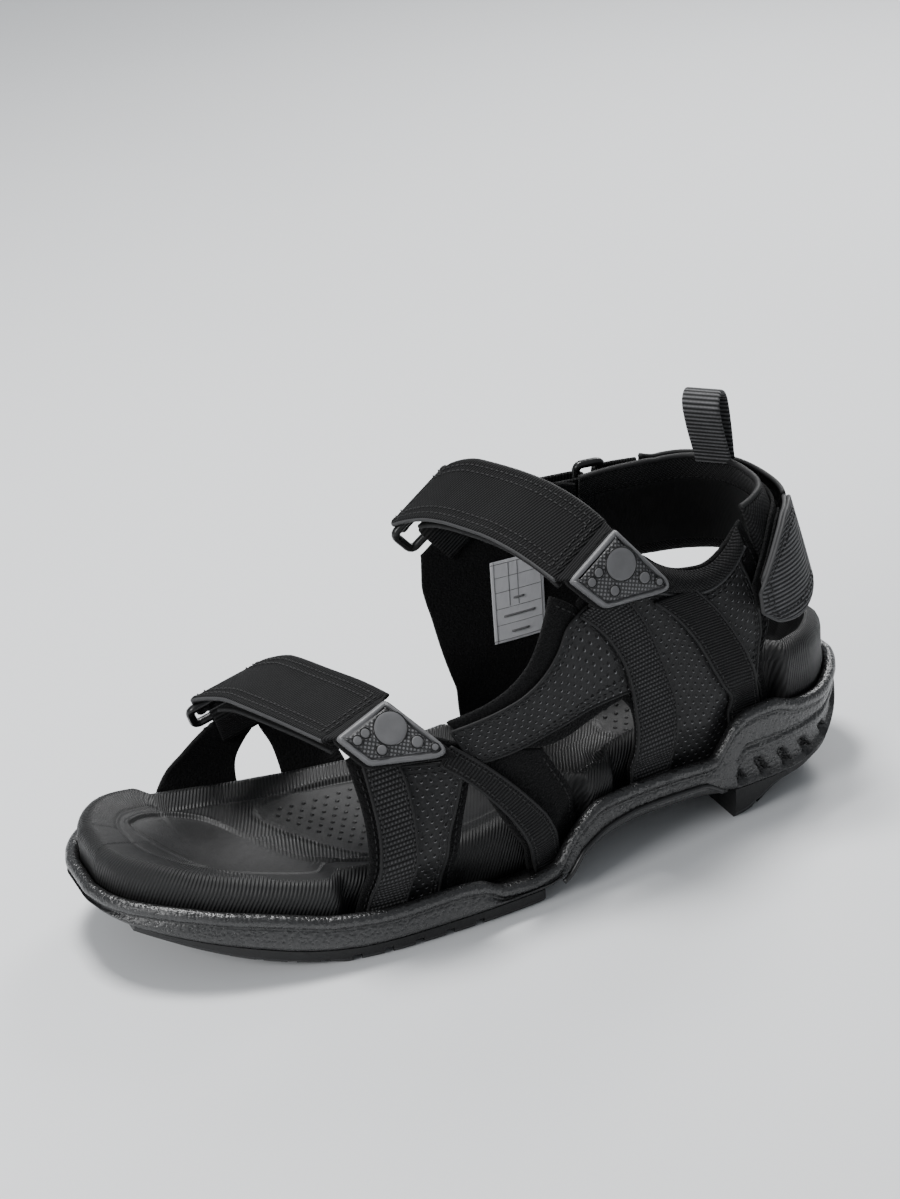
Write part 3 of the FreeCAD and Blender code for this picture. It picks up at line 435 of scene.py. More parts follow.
def stitches(mesh, points, normals, pitch=2.5, length=1.75, radius=0.27):
    """A row of stitches, each a small rounded bar that dips into the fabric at its ends."""
    if len(points) < 2:
        return mesh
    run = np.concatenate([[0], np.cumsum(np.linalg.norm(np.diff(points, axis=0), axis=1))])
    if run[-1] < pitch:
        return mesh
    at = np.arange(pitch / 2, run[-1] - pitch / 3, pitch)
    centre = np.stack([np.interp(at, run, points[:, k]) for k in range(3)], -1)
    ahead = np.stack([np.interp(at + 0.4, run, points[:, k]) for k in range(3)], -1) \
        - np.stack([np.interp(at - 0.4, run, points[:, k]) for k in range(3)], -1)
    ahead = unit(ahead)
    up = unit(np.stack([np.interp(at, run, normals[:, k]) for k in range(3)], -1))
    side = np.cross(ahead, up)
    sides = 6
    for c, a, u, w in zip(centre, ahead, up, side):
        ring_points = []
        for place, size, height in ((-0.5, 0.45, -0.16), (-0.3, 1.0, 0.10), (0.3, 1.0, 0.10),
                                    (0.5, 0.45, -0.16)):
            for k in range(sides):
                t = 2 * math.pi * k / sides
                ring_points.append(c + a * place * length + u * (height + radius * size * math.sin(t))
                                   + w * (radius * size * math.cos(t)))
        faces = quads(4, sides, wrap=True)
        faces.append(list(range(sides))[::-1])
        faces.append([3 * sides + k for k in range(sides)])
        mesh.add(ring_points, faces)
    return mesh


def tube(mesh, points, radius, sides=8, closed=False):
    """Round cord along a line of points."""
    points = np.asarray(points, float)
    if closed:
        tangents = np.roll(points, -1, 0) - np.roll(points, 1, 0)
    else:
        tangents = np.gradient(points, axis=0)
    tangents = unit(tangents)
    side = np.cross(tangents[0], [0.3, 0.2, 1.0])
    rings = []
    for p, t in zip(points, tangents):
        side = unit(side - t * (side @ t))
        over = np.cross(t, side)
        for k in range(sides):
            a = 2 * math.pi * k / sides
            rings.append(p + radius * (side * math.cos(a) + over * math.sin(a)))
    count = len(points)
    faces = quads(count, sides, wrap=True)
    if closed:
        last = (count - 1) * sides
        faces += [[last + k, last + (k + 1) % sides, (k + 1) % sides, k] for k in range(sides)]
    else:
        faces.append(list(range(sides))[::-1])
        faces.append([(count - 1) * sides + k for k in range(sides)])
    uv = [(k / sides * 2 * math.pi * radius, i) for i in range(count) for k in range(sides)]
    return mesh.add(rings, faces, uv)


def sweep(mesh, sections, uv_run=None, caps=True, uv_across=None):
    """Skin over closed profiles that all have the same number of points."""
    sections = np.asarray(sections, float)
    count, around, _ = sections.shape
    middle = sections.mean(1)
    run = np.concatenate([[0], np.cumsum(np.linalg.norm(np.diff(middle, axis=0), axis=1))])
    if uv_run is not None:
        run = uv_run
    faces = quads(count, around, wrap=True)
    if caps:
        faces.append(list(range(around))[::-1])
        faces.append([(count - 1) * around + k for k in range(around)])
    across = np.zeros(around) if uv_across is None else uv_across
    uv = np.stack(np.broadcast_arrays(across[None, :], run[:, None]), -1)
    return mesh.add(sections, faces, uv)


def band_profile(half, thick, steps=16, crown=0.0):
    """Profile of a flat strap, (across, up): flat faces with rounded edges."""
    r = thick / 2
    profile = []
    for x in np.linspace(-half + r, half - r, steps):
        profile.append((x, thick + crown * (1 - (x / half) ** 2)))
    for a in (45, 0, -45):
        profile.append((half - r + r * math.cos(math.radians(a)), r + r * math.sin(math.radians(a))))
    for x in np.linspace(half - r, -half + r, steps):
        profile.append((x, 0.0))
    for a in (-135, 180, 135):
        profile.append((-half + r + r * math.cos(math.radians(a)), r + r * math.sin(math.radians(a))))
    return np.array(profile)


# ---------------------------------------------------------------- materials
class Shader:
    """A Principled material with helpers for patterns in millimetres."""

    def __init__(self, name, roughness, specular=0.5, sheen=0.0):
        self.material = bpy.data.materials.new(name)
        self.material.use_nodes = True
        self.tree = self.material.node_tree
        self.bsdf = self.tree.nodes["Principled BSDF"]
        self.bsdf.inputs["Roughness"].default_value = roughness
        self.bsdf.inputs["Specular IOR Level"].default_value = specular
        self.bsdf.inputs["Sheen Weight"].default_value = sheen
        self.bsdf.inputs["Sheen Roughness"].default_value = 0.6
        uv = self.node("ShaderNodeUVMap")
        uv.uv_map = "UVMap"
        split = self.node("ShaderNodeSeparateXYZ")
        self.link(uv.outputs[0], split.inputs[0])
        self.u, self.v = split.outputs[0], split.outputs[1]
        self.place = self.node("ShaderNodeTexCoord").outputs["Object"]

    def node(self, kind):
        return self.tree.nodes.new(kind)

    def link(self, a, b):
        self.tree.links.new(a, b)

    def math(self, operation, a, b=None, c=None):
        node = self.node("ShaderNodeMath")
        node.operation = operation
        for socket, value in zip(node.inputs, (a, b, c)):
            if value is None:
                continue
            if isinstance(value, (int, float)):
                socket.default_value = value
            else:
                self.link(value, socket)
        return node.outputs[0]

    def wave(self, coordinate, pitch, phase=0.0):
        """0 to 1 sine ribs."""
        s = self.math("SINE", self.math("MULTIPLY_ADD", coordinate, 2 * math.pi / pitch, phase))
        return self.math("MULTIPLY_ADD", s, 0.5, 0.5)

    def noise(self, size, detail=2.0, vector=None):
        """0 to 1 noise with features about size mm across."""
        node = self.node("ShaderNodeTexNoise")
        node.inputs["Scale"].default_value = 1000.0 / size
        node.inputs["Detail"].default_value = detail
        self.link(vector or self.place, node.inputs["Vector"])
        return node.outputs["Fac"]

    def cells(self, size, smooth=True):
        node = self.node("ShaderNodeTexVoronoi")
        node.inputs["Scale"].default_value = 1000.0 / size
        if smooth:
            node.feature = "SMOOTH_F1"
        self.link(self.place, node.inputs["Vector"])
        return node.outputs["Distance"]

    def dots(self, pitch_u, pitch_v, radius, soft=0.18, shift=0.0):
        """1 inside round dots in offset rows, 0 outside."""
        row = self.math("DIVIDE", self.math("ADD", self.v, shift), pitch_v)
        odd = self.math("MODULO", self.math("FLOOR", row), 2)
        col = self.math("MULTIPLY_ADD", odd, 0.5, self.math("DIVIDE", self.u, pitch_u))
        du = self.math("MULTIPLY", self.math("SUBTRACT", self.math("FRACT", col), 0.5), pitch_u)
        dv = self.math("MULTIPLY", self.math("SUBTRACT", self.math("FRACT", row), 0.5), pitch_v)
        squares = self.math("ADD", self.math("MULTIPLY", du, du), self.math("MULTIPLY", dv, dv))
        far = self.math("SQRT", squares)
        edge = self.node("ShaderNodeMapRange")
        edge.interpolation_type = "SMOOTHSTEP"
        self.link(far, edge.inputs[0])
        edge.inputs[1].default_value = radius - soft
        edge.inputs[2].default_value = radius + soft
        edge.inputs[3].default_value = 1.0
        edge.inputs[4].default_value = 0.0
        return edge.outputs[0]

    def zone(self):
        node = self.node("ShaderNodeAttribute")
        node.attribute_name = "zone"
        return node.outputs["Fac"]

    def colour(self, factor, low, high):
        mix = self.node("ShaderNodeMix")
        mix.data_type = "RGBA"
        self.link(factor, mix.inputs[0])
        mix.inputs[6].default_value = (*low, 1)
        mix.inputs[7].default_value = (*high, 1)
        self.link(mix.outputs[2], self.bsdf.inputs["Base Color"])

    def rough(self, factor, low, high):
        self.link(self.math("MULTIPLY_ADD", factor, high - low, low), self.bsdf.inputs["Roughness"])

    def bump(self, height, depth):
        """height 0 to 1 times depth in mm."""
        node = self.node("ShaderNodeBump")
        node.inputs["Strength"].default_value = 1.0
        node.inputs["Distance"].default_value = depth * MM
        self.link(height, node.inputs["Height"])
        self.link(node.outputs[0], self.bsdf.inputs["Normal"])


def grey(value, tint=(1.0, 1.0, 1.03)):
    return tuple(value * t for t in tint)


def make_midsole_foam():
    s = Shader("midsole_foam", 0.3, 0.7)
    pebble = s.cells(1.15)
    speck = s.noise(0.5, 3.0)
    height = s.math("ADD", s.math("MULTIPLY", pebble, 0.8), s.math("MULTIPLY", speck, 0.4))
    s.colour(s.noise(9.0), grey(0.009), grey(0.015))
    s.rough(s.math("MULTIPLY", pebble, 1.2), 0.20, 0.42)
    s.bump(height, 0.42)
    return s.material


def make_footbed_foam():
    s = Shader("footbed_foam", 0.5, 0.38)
    zone = s.zone()
    ribs = s.wave(s.math("MULTIPLY_ADD", s.v, 0.5, s.u), 1.35)
    smooth = s.noise(2.6, 3.0)
    rib_part = s.math("MULTIPLY", ribs, s.math("SUBTRACT", 1.0, zone))
    pad_part = s.math("MULTIPLY", s.math("MULTIPLY", smooth, 0.55), zone)
    grain = s.math("MULTIPLY", s.noise(0.5), 0.22)
    s.colour(s.math("ADD", s.math("MULTIPLY", rib_part, 0.6), pad_part), grey(0.004), grey(0.015))
    s.rough(s.noise(5.0), 0.42, 0.66)
    s.bump(s.math("ADD", s.math("ADD", rib_part, pad_part), grain), 0.24)
    return s.material


def make_rubber(name, value, roughness=0.5):
    s = Shader(name, roughness, 0.35)
    s.colour(s.noise(14.0), grey(value * 0.8), grey(value * 1.25))
    s.rough(s.noise(3.0), roughness - 0.08, roughness + 0.12)
    s.bump(s.math("ADD", s.noise(0.45, 3.0), s.math("MULTIPLY", s.noise(3.0), 0.5)), 0.16)
    return s.material


def make_lining():
    """Brushed fabric with a loose nap."""
    s = Shader("lining_fabric", 1.0, 0.10, sheen=0.025)
    nap = s.noise(0.55, 4.0)
    tuft = s.cells(0.9)
    s.colour(s.math("POWER", nap, 2.0), grey(0.003), grey(0.022))
    s.bump(s.math("ADD", nap, tuft), 0.75)
    return s.material


def make_knit(name="collar_knit"):
    """Diagonal knit on the topline and the collar's rim."""
    s = Shader(name, 0.95, 0.14, sheen=0.03)
    a = s.wave(s.math("ADD", s.u, s.v), 1.3)
    b = s.wave(s.math("SUBTRACT", s.u, s.v), 2.2)
    knit = s.math("MULTIPLY", a, s.math("MULTIPLY_ADD", b, 0.5, 0.5))
    s.colour(knit, grey(0.003), grey(0.026))
    s.bump(s.math("ADD", knit, s.math("MULTIPLY", s.noise(0.5), 0.5)), 0.5)
    return s.material


def make_smooth_lining():
    """Smooth jersey inside the heel."""
    s = Shader("heel_jersey", 0.7, 0.16, sheen=0.02)
    s.colour(s.noise(6.0), grey(0.004), grey(0.008))
    s.bump(s.wave(s.u, 0.6), 0.08)
    return s.material


def make_leather():
    s = Shader("perforated_leather", 0.5, 0.20)
    hole = s.dots(3.4, 2.45, 0.46, 0.14)
    # painted highlight: lit is a light crescent coloured onto one rim of each perforation, standing in for
    # the glint of light there
    lit = s.math("MAXIMUM", s.math("SUBTRACT", s.dots(3.4, 2.45, 0.46, 0.14, 0.26), hole), 0.0)
    grain = s.cells(0.9)
    body = s.math("MULTIPLY_ADD", s.noise(8.0), 0.5, s.math("MULTIPLY", grain, 0.5))
    tone = s.math("MULTIPLY", s.math("MULTIPLY", body, 0.11), s.math("SUBTRACT", 1.0, hole))
    s.colour(s.math("ADD", tone, lit), grey(0.002), grey(0.26))
    s.rough(grain, 0.38, 0.62)
    height = s.math("SUBTRACT", s.math("MULTIPLY", grain, 0.25), s.math("MULTIPLY", hole, 1.0))
    s.bump(height, 0.5)
    return s.material


def make_webbing(name, low, high, rib_pitch=1.25, weft_pitch=1.05, weft=0.3, depth=0.4, sheen=0.02):
    """Ribbed webbing: ribs run across, with the lighter weft showing on them."""
    s = Shader(name, 0.72, 0.14, sheen=sheen)
    rib = s.wave(s.v, rib_pitch)
    row = s.math("MODULO", s.math("FLOOR", s.math("DIVIDE", s.v, rib_pitch)), 2)
    yarn = s.wave(s.u, weft_pitch)
    shifted = s.wave(s.u, weft_pitch, math.pi)
    woven = s.math("ADD", s.math("MULTIPLY", yarn, row),
                   s.math("MULTIPLY", shifted, s.math("SUBTRACT", 1.0, row)))
    body = s.math("MULTIPLY", rib, s.math("MULTIPLY_ADD", woven, weft, 1.0 - weft))
    s.colour(s.math("MULTIPLY", body, s.math("MULTIPLY_ADD", s.noise(5.0), 0.6, 0.7)), grey(low), grey(high))
    s.bump(s.math("ADD", body, s.math("MULTIPLY", s.noise(0.4), 0.2)), depth)
    return s.material


def make_strap_twill():
    """Fine twill: thin lines across the strap."""
    s = Shader("strap_twill", 0.72, 0.10, sheen=0.01)
    line = s.wave(s.math("MULTIPLY_ADD", s.u, 0.25, s.v), 1.05)
    yarn = s.wave(s.math("SUBTRACT", s.u, s.v), 1.4)
    body = s.math("MULTIPLY", line, s.math("MULTIPLY_ADD", yarn, 0.4, 0.6))
    patchy = s.math("MULTIPLY", body, s.math("MULTIPLY_ADD", s.noise(7.0), 0.5, 0.75))
    s.colour(patchy, grey(0.002), grey(0.020))
    s.bump(body, 0.30)
    return s.material


def make_plain(name, value, roughness, specular=0.5, depth=0.06, sheen=0.0):
    s = Shader(name, roughness, specular, sheen=sheen)
    s.colour(s.noise(4.0), grey(value * 0.8), grey(value * 1.2))
    s.rough(s.noise(1.5), max(roughness - 0.06, 0.05), min(roughness + 0.08, 1.0))
    s.bump(s.noise(0.35, 3.0), depth)
    return s.material


def make_tab_field():
    """Moulded field of fine square dots."""
    s = Shader("tab_field", 0.5, 0.5)
    pip = s.math("MULTIPLY", s.wave(s.u, 1.3), s.wave(s.v, 1.3))
    sharp = s.math("GREATER_THAN", pip, 0.30)
    soft = s.math("ADD", s.math("MULTIPLY", sharp, 0.7), s.math("MULTIPLY", pip, 0.3))
    s.colour(soft, grey(0.018), grey(0.13))
    s.bump(soft, 0.45)
    return s.material


def make_hook_pile():
    s = Shader("hook_pile", 0.95, 0.1, sheen=0.03)
    tuft = s.dots(1.2, 1.0, 0.3, 0.2)
    s.colour(tuft, grey(0.006), grey(0.022))
    s.bump(s.math("ADD", tuft, s.noise(0.4)), 0.5)
    return s.material


def make_label():
    s = Shader("label_satin", 0.55, 0.4)
    s.colour(s.noise(4.0), grey(0.60), grey(0.72))
    s.bump(s.wave(s.u, 0.5), 0.04)
    return s.material


midsole_foam = make_midsole_foam()
footbed_foam = make_footbed_foam()
outsole_rubber = make_rubber("outsole_rubber", 0.011, 0.48)
shank_plastic = make_plain("shank_plastic", 0.012, 0.3, 0.45, 0.05)
lining_fabric = make_lining()
collar_knit = make_knit()
heel_jersey = make_smooth_lining()
leather = make_leather()
webbing = make_webbing("webbing_ribbed", 0.002, 0.022)
webbing_grid = make_webbing("webbing_grid", 0.002, 0.075, 1.6, 1.3, 0.8, 0.45)
strap_twill = make_strap_twill()
thread = make_plain("thread", 0.014, 0.6, 0.3, 0.03, sheen=0.02)
piping = make_plain("piping", 0.012, 0.6, 0.25, 0.08)
piping_grey = make_plain("piping_grey", 0.040, 0.55, 0.3, 0.06)
tab_rubber = make_plain("tab_rubber", 0.105, 0.42, 0.4, 0.03)
tab_field = make_tab_field()
tab_webbing = make_webbing("tab_webbing", 0.010, 0.120, 1.55, 1.5, 0.15, 0.5)
ring_plastic = make_plain("ring_plastic", 0.006, 0.28, 0.45, 0.03)
hook_pile = make_hook_pile()
label_satin = make_label()
label_ink = make_plain("label_ink", 0.16, 0.6, 0.3, 0.01)


# ---------------------------------------------------------------- sole
def sole_loop(inset, count=420):
    """Evenly spaced points round the sole, anticlockwise from the toe, with outward directions in plan."""
    half = sole_length / 2
    angles = np.linspace(0, math.pi, 260)
    xs = -half * np.cos(angles)
    lateral = [(x, -(lateral_edge(x))) for x in xs]
    medial = [(x, medial_edge(x)) for x in xs[::-1]]
    loop, at = even_loop(lateral + medial, count)
    for _ in range(3):
        loop = (np.roll(loop, 1, 0) + 2 * loop + np.roll(loop, -1, 0)) / 4
    ahead = unit(np.roll(loop, -1, 0) - np.roll(loop, 1, 0))
    out = np.stack([ahead[:, 1], -ahead[:, 0]], -1)
    return loop - out * inset, out, at


def ring_mesh(mesh, rings, uv_u, uv_v, zones=None, wrap_rings=False):
    """Skin over closed rings that all have the same number of points."""
    rings = np.asarray(rings, float)
    count, around, _ = rings.shape
    faces = quads(count, around, wrap=True)
    if wrap_rings:
        last = (count - 1) * around
        faces += [[last + k, last + (k + 1) % around, (k + 1) % around, k] for k in range(around)]
    uv = np.stack(np.broadcast_arrays(np.asarray(uv_u)[None, :], np.asarray(uv_v)[:, None]), -1)
    return mesh.add(rings, faces, uv, zones)


def heel_block(x, z, low, top):
    """Extra inset of the midsole's side where the stepped heel block sits under the wall."""
    rear = ease((x - 85) / 3)
    split = 24 + 5.5 * ease((x - 85) / 6) + 2 * ease((x - 125) / 20)
    below = ease((split - z) / 1.2 + 0.5)
    groove = 1.6 * math.exp(-((z - split - 0.2) / 0.9) ** 2)
    depth = 1.1 + 0.10 * max(split - z, 0)
    tread = ((x - 88 + 0.55 * (z - low)) / 10.5) % 1.0
    under = ease((0.62 - (z - low) / max(split - low, 1)) / 0.08)
    notch = 2.4 * under * ease((tread - 0.05) / 0.08) * ease((0.42 - tread) / 0.08)
    lip = -0.5 * math.exp(-((z - split + 2.2) / 0.8) ** 2)
    return rear * (below * (depth + notch + lip) + groove) * ease((top - 5 - z) / 2)


def make_midsole():
    base, out, run = sole_loop(0.0, 720)
    xs = base[:, 0]
    z0 = np.array([midsole_bottom(x) for x in xs])
    z1 = np.array([bead_top(x) for x in xs])
    floor = np.array([cup_floor(x) for x in xs])
    bead = 2.45
    profile = [(14, z0), (3.2, z0), (1.5, z0 + 0.5), (0.55, z0 + 1.6)]
    for share in spread(0.0, 1.0, 26):
        z = z0 + 2.4 + (z1 - 5.6 - z0 - 2.4) * share
        waist = 0.15 + 1.1 * share ** 1.5
        block = np.array([heel_block(x, h, a, b) for x, h, a, b in zip(xs, z, z0, z1)])
        profile.append((waist + block, z))
    profile.append((1.75, z1 - 5.1))
    for a in (-48, -30, -10, 10, 30, 50, 70, 90, 110, 130, 150, 170):
        t = math.radians(a)
        profile.append((bead - bead * math.cos(t), z1 - bead + bead * math.sin(t)))
    profile += [(bead_wall + 0.05, z1 - 3.4), (bead_wall + 0.05, floor + 0.4), (bead_wall + 0.6, floor),
                (14, floor)]
    rings = []
    for inset, z in profile:
        move = np.broadcast_to(inset, xs.shape)[:, None]
        rings.append(np.column_stack([base - out * move, np.broadcast_to(z, xs.shape)]))
    mesh = Mesh()
    ring_mesh(mesh, rings, run, np.arange(len(rings)) * 2.0, wrap_rings=True)
    stations = spread(-135, 136, 70)
    sections = []
    for x in stations:
        low, high = -lateral_edge(x) + 12, medial_edge(x) - 12
        z_low, z_high = midsole_bottom(x), cup_floor(x)
        sections.append([(x, low, z_low), (x, high, z_low), (x, high, z_high), (x, low, z_high)])
    sweep(mesh, sections)
    return mesh.build("midsole_cup", "shoe", midsole_foam, "midsole_foam", ["midsole"])


def make_arch_edge():
    """Glossy edge of the shank that follows the arch under each side of the midsole."""
    mesh = Mesh()
    for side in (-1, 1):
        line = []
        for x in spread(9, 79, 60):
            edge = lateral_edge(x) if side < 0 else medial_edge(x)
            lift = 4.2 * ease((x - 9) / 10) * ease((83 - x) / 12)
            line.append((x, side * (edge + 0.1), midsole_bottom(x) + lift))
        tube(mesh, resample(np.array(line, float), 80), 0.95)
    return mesh.build("arch_edge", "shoe", shank_plastic, "midsole_foam")


pockets = ((-1, -70, 23), (-1, 41, 109), (1, -112, -29), (1, 8, 75))


def pocket_depth(side, x):
    """How far the footbed's edge steps in for the upper's legs."""
    share = 0.0
    for where, first, last in pockets:
        if where == side:
            share = max(share, ease((x - first + 5) / 5) * ease((last + 5 - x) / 5))
    return share


toe_pad = [(-123, 15), (-121, 20), (-115, 23), (-106, 22), (-95, 16), (-84, -3), (-75, -18), (-60, -30),
           (-52, -37), (-56, -43), (-68, -43), (-87, -36), (-105, -20), (-115, -4)]
ball_pad = [(-77, 19), (-72, 23), (-62, 25), (-47, 25), (-32, 21), (-24, 12), (-24, -6), (-32, -20),
            (-43, -27), (-52, -25), (-60, -14), (-69, 0), (-76, 13)]
heel_pad = [(52, 0), (58, -13), (72, -18), (90, -19), (106, -17), (116, -9), (119, 1), (116, 11), (106, 18),
            (90, 19), (72, 18), (58, 13)]


def smooth_loop(points, count=90):
    """Closed smooth outline through given corners."""
    p = np.array(points, float)
    p = np.concatenate([p, p, p])
    fine = resample(p, len(p) * 12)
    third = len(fine) // 3
    fine = fine[third:2 * third]
    return fine[np.linspace(0, len(fine) - 1, count).astype(int)]


def signed_distance(points, loop):
    """Distance to a closed outline in plan, negative inside."""
    a = loop
    b = np.roll(loop, -1, 0)
    best = np.full(len(points), 1e9)
    inside = np.zeros(len(points), bool)
    for p, q in zip(a, b):
        d = q - p
        t = np.clip(((points - p) @ d) / max(d @ d, 1e-9), 0, 1)
        best = np.minimum(best, np.linalg.norm(points - (p + t[:, None] * d), axis=1))
        crosses = (p[1] > points[:, 1]) != (q[1] > points[:, 1])
        at = p[0] + (points[:, 1] - p[1]) / (q[1] - p[1] if abs(q[1] - p[1]) > 1e-9 else 1e-9) * d[0]
        inside ^= crosses & (points[:, 0] < at)
    return np.where(inside, -best, best)


def step_to(value, first, last):
    t = np.clip((value - first) / (last - first), 0, 1)
    return t * t * (3 - 2 * t)


pad_loops = [smooth_loop(p) for p in (toe_pad, ball_pad, heel_pad)]


def pad_relief(points):
    """Height change and smooth-zone share of the footbed's moulded pads at points in plan."""
    relief = np.zeros(len(points))
    zone = np.zeros(len(points))
    for loop in pad_loops:
        d = signed_distance(points, loop)
        relief += -0.7 * step_to(-d, 0.0, 1.2)
        relief += -0.75 * np.exp(-((d - 0.2) / 0.65) ** 2)
        relief += 0.55 * np.exp(-((d - 1.7) / 0.7) ** 2)
        zone = np.maximum(zone, step_to(-d, -1.2, 0.2))
    return relief, zone


def footbed_grid(count=620):
    """Rings of the footbed's top from its middle line out to the rim and down to the cup floor."""
    base, out, run = sole_loop(0.0, count)
    middle = np.array([(medial_edge(x) - lateral_edge(x)) / 2 for x in base[:, 0]])
    sides = np.where(base[:, 1] > middle, 1, -1)
    inset = np.array([5.35 + 6.2 * pocket_depth(s, x) for s, x in zip(sides, base[:, 0])])
    rim = base - out * inset[:, None]
    half = sole_length / 2
    spine_x = np.clip(base[:, 0], -half + 40, half - 34)
    spine = np.stack([spine_x, np.array([(medial_edge(x) - lateral_edge(x)) / 2 for x in spine_x])], -1)
    reach = np.linalg.norm(rim - spine, axis=1)
    return rim, spine, reach, run


def footbed_height(x, share):
    z1 = footbed_rim(x)
    sink = min(footbed_sink(x), z1 - cup_floor(x) - 6)
    return z1 - sink * (1 - share ** 2.6)


def make_footbed():
    rim, spine, reach, run = footbed_grid()
    corner = 6.0
    rings = []
    levels = []
    zones = []
    flat = rim * 1.0
    count = 62
    for j in range(count):
        share = j / (count - 1)
        edge = spine + (flat - spine) * (1 - corner / reach)[:, None]
        p = spine + (edge - spine) * share
        z = np.array([footbed_height(x, share) for x in p[:, 0]])
        relief, zone = pad_relief(p)
        inner_groove = np.exp(-(((reach - corner) * (1 - share) - 8.5) / 0.8) ** 2)
        rings.append(np.column_stack([p, z + relief - 0.55 * inner_groove]))
        levels.append(-(corner + (reach.mean() - corner) * (1 - share)))
        zones.append(np.maximum(zone, 0.55 * step_to((reach - corner) * (1 - share), 8.0, 9.5)))
    rim_z = np.array([footbed_rim(x) for x in flat[:, 0]])
    floor = np.array([cup_floor(x) + glue_gap for x in flat[:, 0]])
    for a in (15, 35, 55, 75, 90):
        t = math.radians(a)
        p = spine + (flat - spine) * (1 - corner * (1 - math.sin(t)) / reach)[:, None]
        rings.append(np.column_stack([p, rim_z - corner * (1 - math.cos(t))]))
        levels.append(-corner + corner * t)
        zones.append(np.zeros(len(p)))
    for share in (0.25, 0.42, 0.48, 0.54, 0.62, 0.8, 1.0):
        ledge = 0.9 * math.exp(-((share - 0.48) / 0.05) ** 2)
        heel = np.array([ease((x - 70) / 20) for x in flat[:, 0]])
        p = flat + unit(flat - spine) * (ledge * heel * 0.5)[:, None]
        z = rim_z - corner + (floor - rim_z + corner) * share
        rings.append(np.column_stack([p, z]))
        levels.append(corner * 0.6 + 12 * share)
        zones.append(np.zeros(len(p)))
    rings.append(np.column_stack([spine + (flat - spine) * 0.5, floor]))
    rings.append(np.column_stack([spine, floor]))
    levels += [30, 40]
    zones += [np.zeros(len(flat))] * 2
    mesh = Mesh()
    ring_mesh(mesh, rings, run, levels, np.array(zones))
    return mesh.build("footbed_moulded", "shoe", footbed_foam, "footbed_foam", ["footbed"], weld=0.02)


def make_footbed_studs():
    """Small raised studs on the ball and heel pads."""
    rim, spine, _, _ = footbed_grid(300)
    mesh = Mesh()
    for loop in pad_loops[1:]:
        low, high = loop.min(0), loop.max(0)
        row = 0
        y = low[1]
        while y < high[1]:
            xs = np.arange(low[0] + (row % 2) * 2.3, high[0], 4.6)
            points = np.stack([xs, np.full(len(xs), y)], -1)
            for p in points[signed_distance(points, loop) < -3.0]:
                near = np.argmin(np.abs(spine[:, 0] - p[0]) + 100 * (np.sign(rim[:, 1] - spine[:, 1])
                                                                  != np.sign(p[1] - spine[:, 1])))
                middle = spine[near, 1]
                share = abs(p[1] - middle) / max(abs(rim[near, 1] - middle) - 6.0, 1)
                z = footbed_height(p[0], min(share, 1.0)) - 0.7
                dome(mesh, (p[0], p[1], z), 0.85, 0.6)
            y += 3.9
            row += 1
    return mesh.build("footbed_studs", "shoe", outsole_rubber, "footbed_foam")


def dome(mesh, centre, radius, tall, sides=10, axes=None):
    """Low round stud that stands on a surface."""
    right, ahead, up = axes or (np.array([1, 0, 0.0]), np.array([0, 1.0, 0]), np.array([0, 0, 1.0]))
    points = []
    for share, height in ((1.0, -0.3), (1.0, 0.0), (0.85, 0.5), (0.5, 0.88), (0.12, 1.0)):
        for k in range(sides):
            a = 2 * math.pi * k / sides
            points.append(np.array(centre) + right * (radius * share * math.cos(a))
                          + ahead * (radius * share * math.sin(a)) + up * (tall * height))
    faces = quads(5, sides, wrap=True)
    faces.append(list(range(sides))[::-1])
    faces.append([4 * sides + k for k in range(sides)])
    mesh.add(points, faces)


def dress_cad(name, material, bevel, angle=28):
    """A CAD piece whose shape is right gets its finish and softened edges."""
    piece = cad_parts[name]
    piece.data.materials.clear()
    piece.data.materials.append(material)
    weld = piece.modifiers.new("weld", "WELD")
    weld.merge_threshold = 0.02 * MM
    soften = piece.modifiers.new("soften", "BEVEL")
    soften.width = bevel * MM
    soften.segments = 2
    soften.limit_method = "ANGLE"
    soften.angle_limit = math.radians(angle)
    soften.harden_normals = False
    piece.data.polygons.foreach_set("use_smooth", [False] * len(piece.data.polygons))


# ---------------------------------------------------------------- upper
leather_level = lining_thick + glue_gap
webbing_level = leather_level + leather_thick + glue_gap


def legs(points):
    return [(points[0][0], foot_of(points[0][0]))] + points[1:]


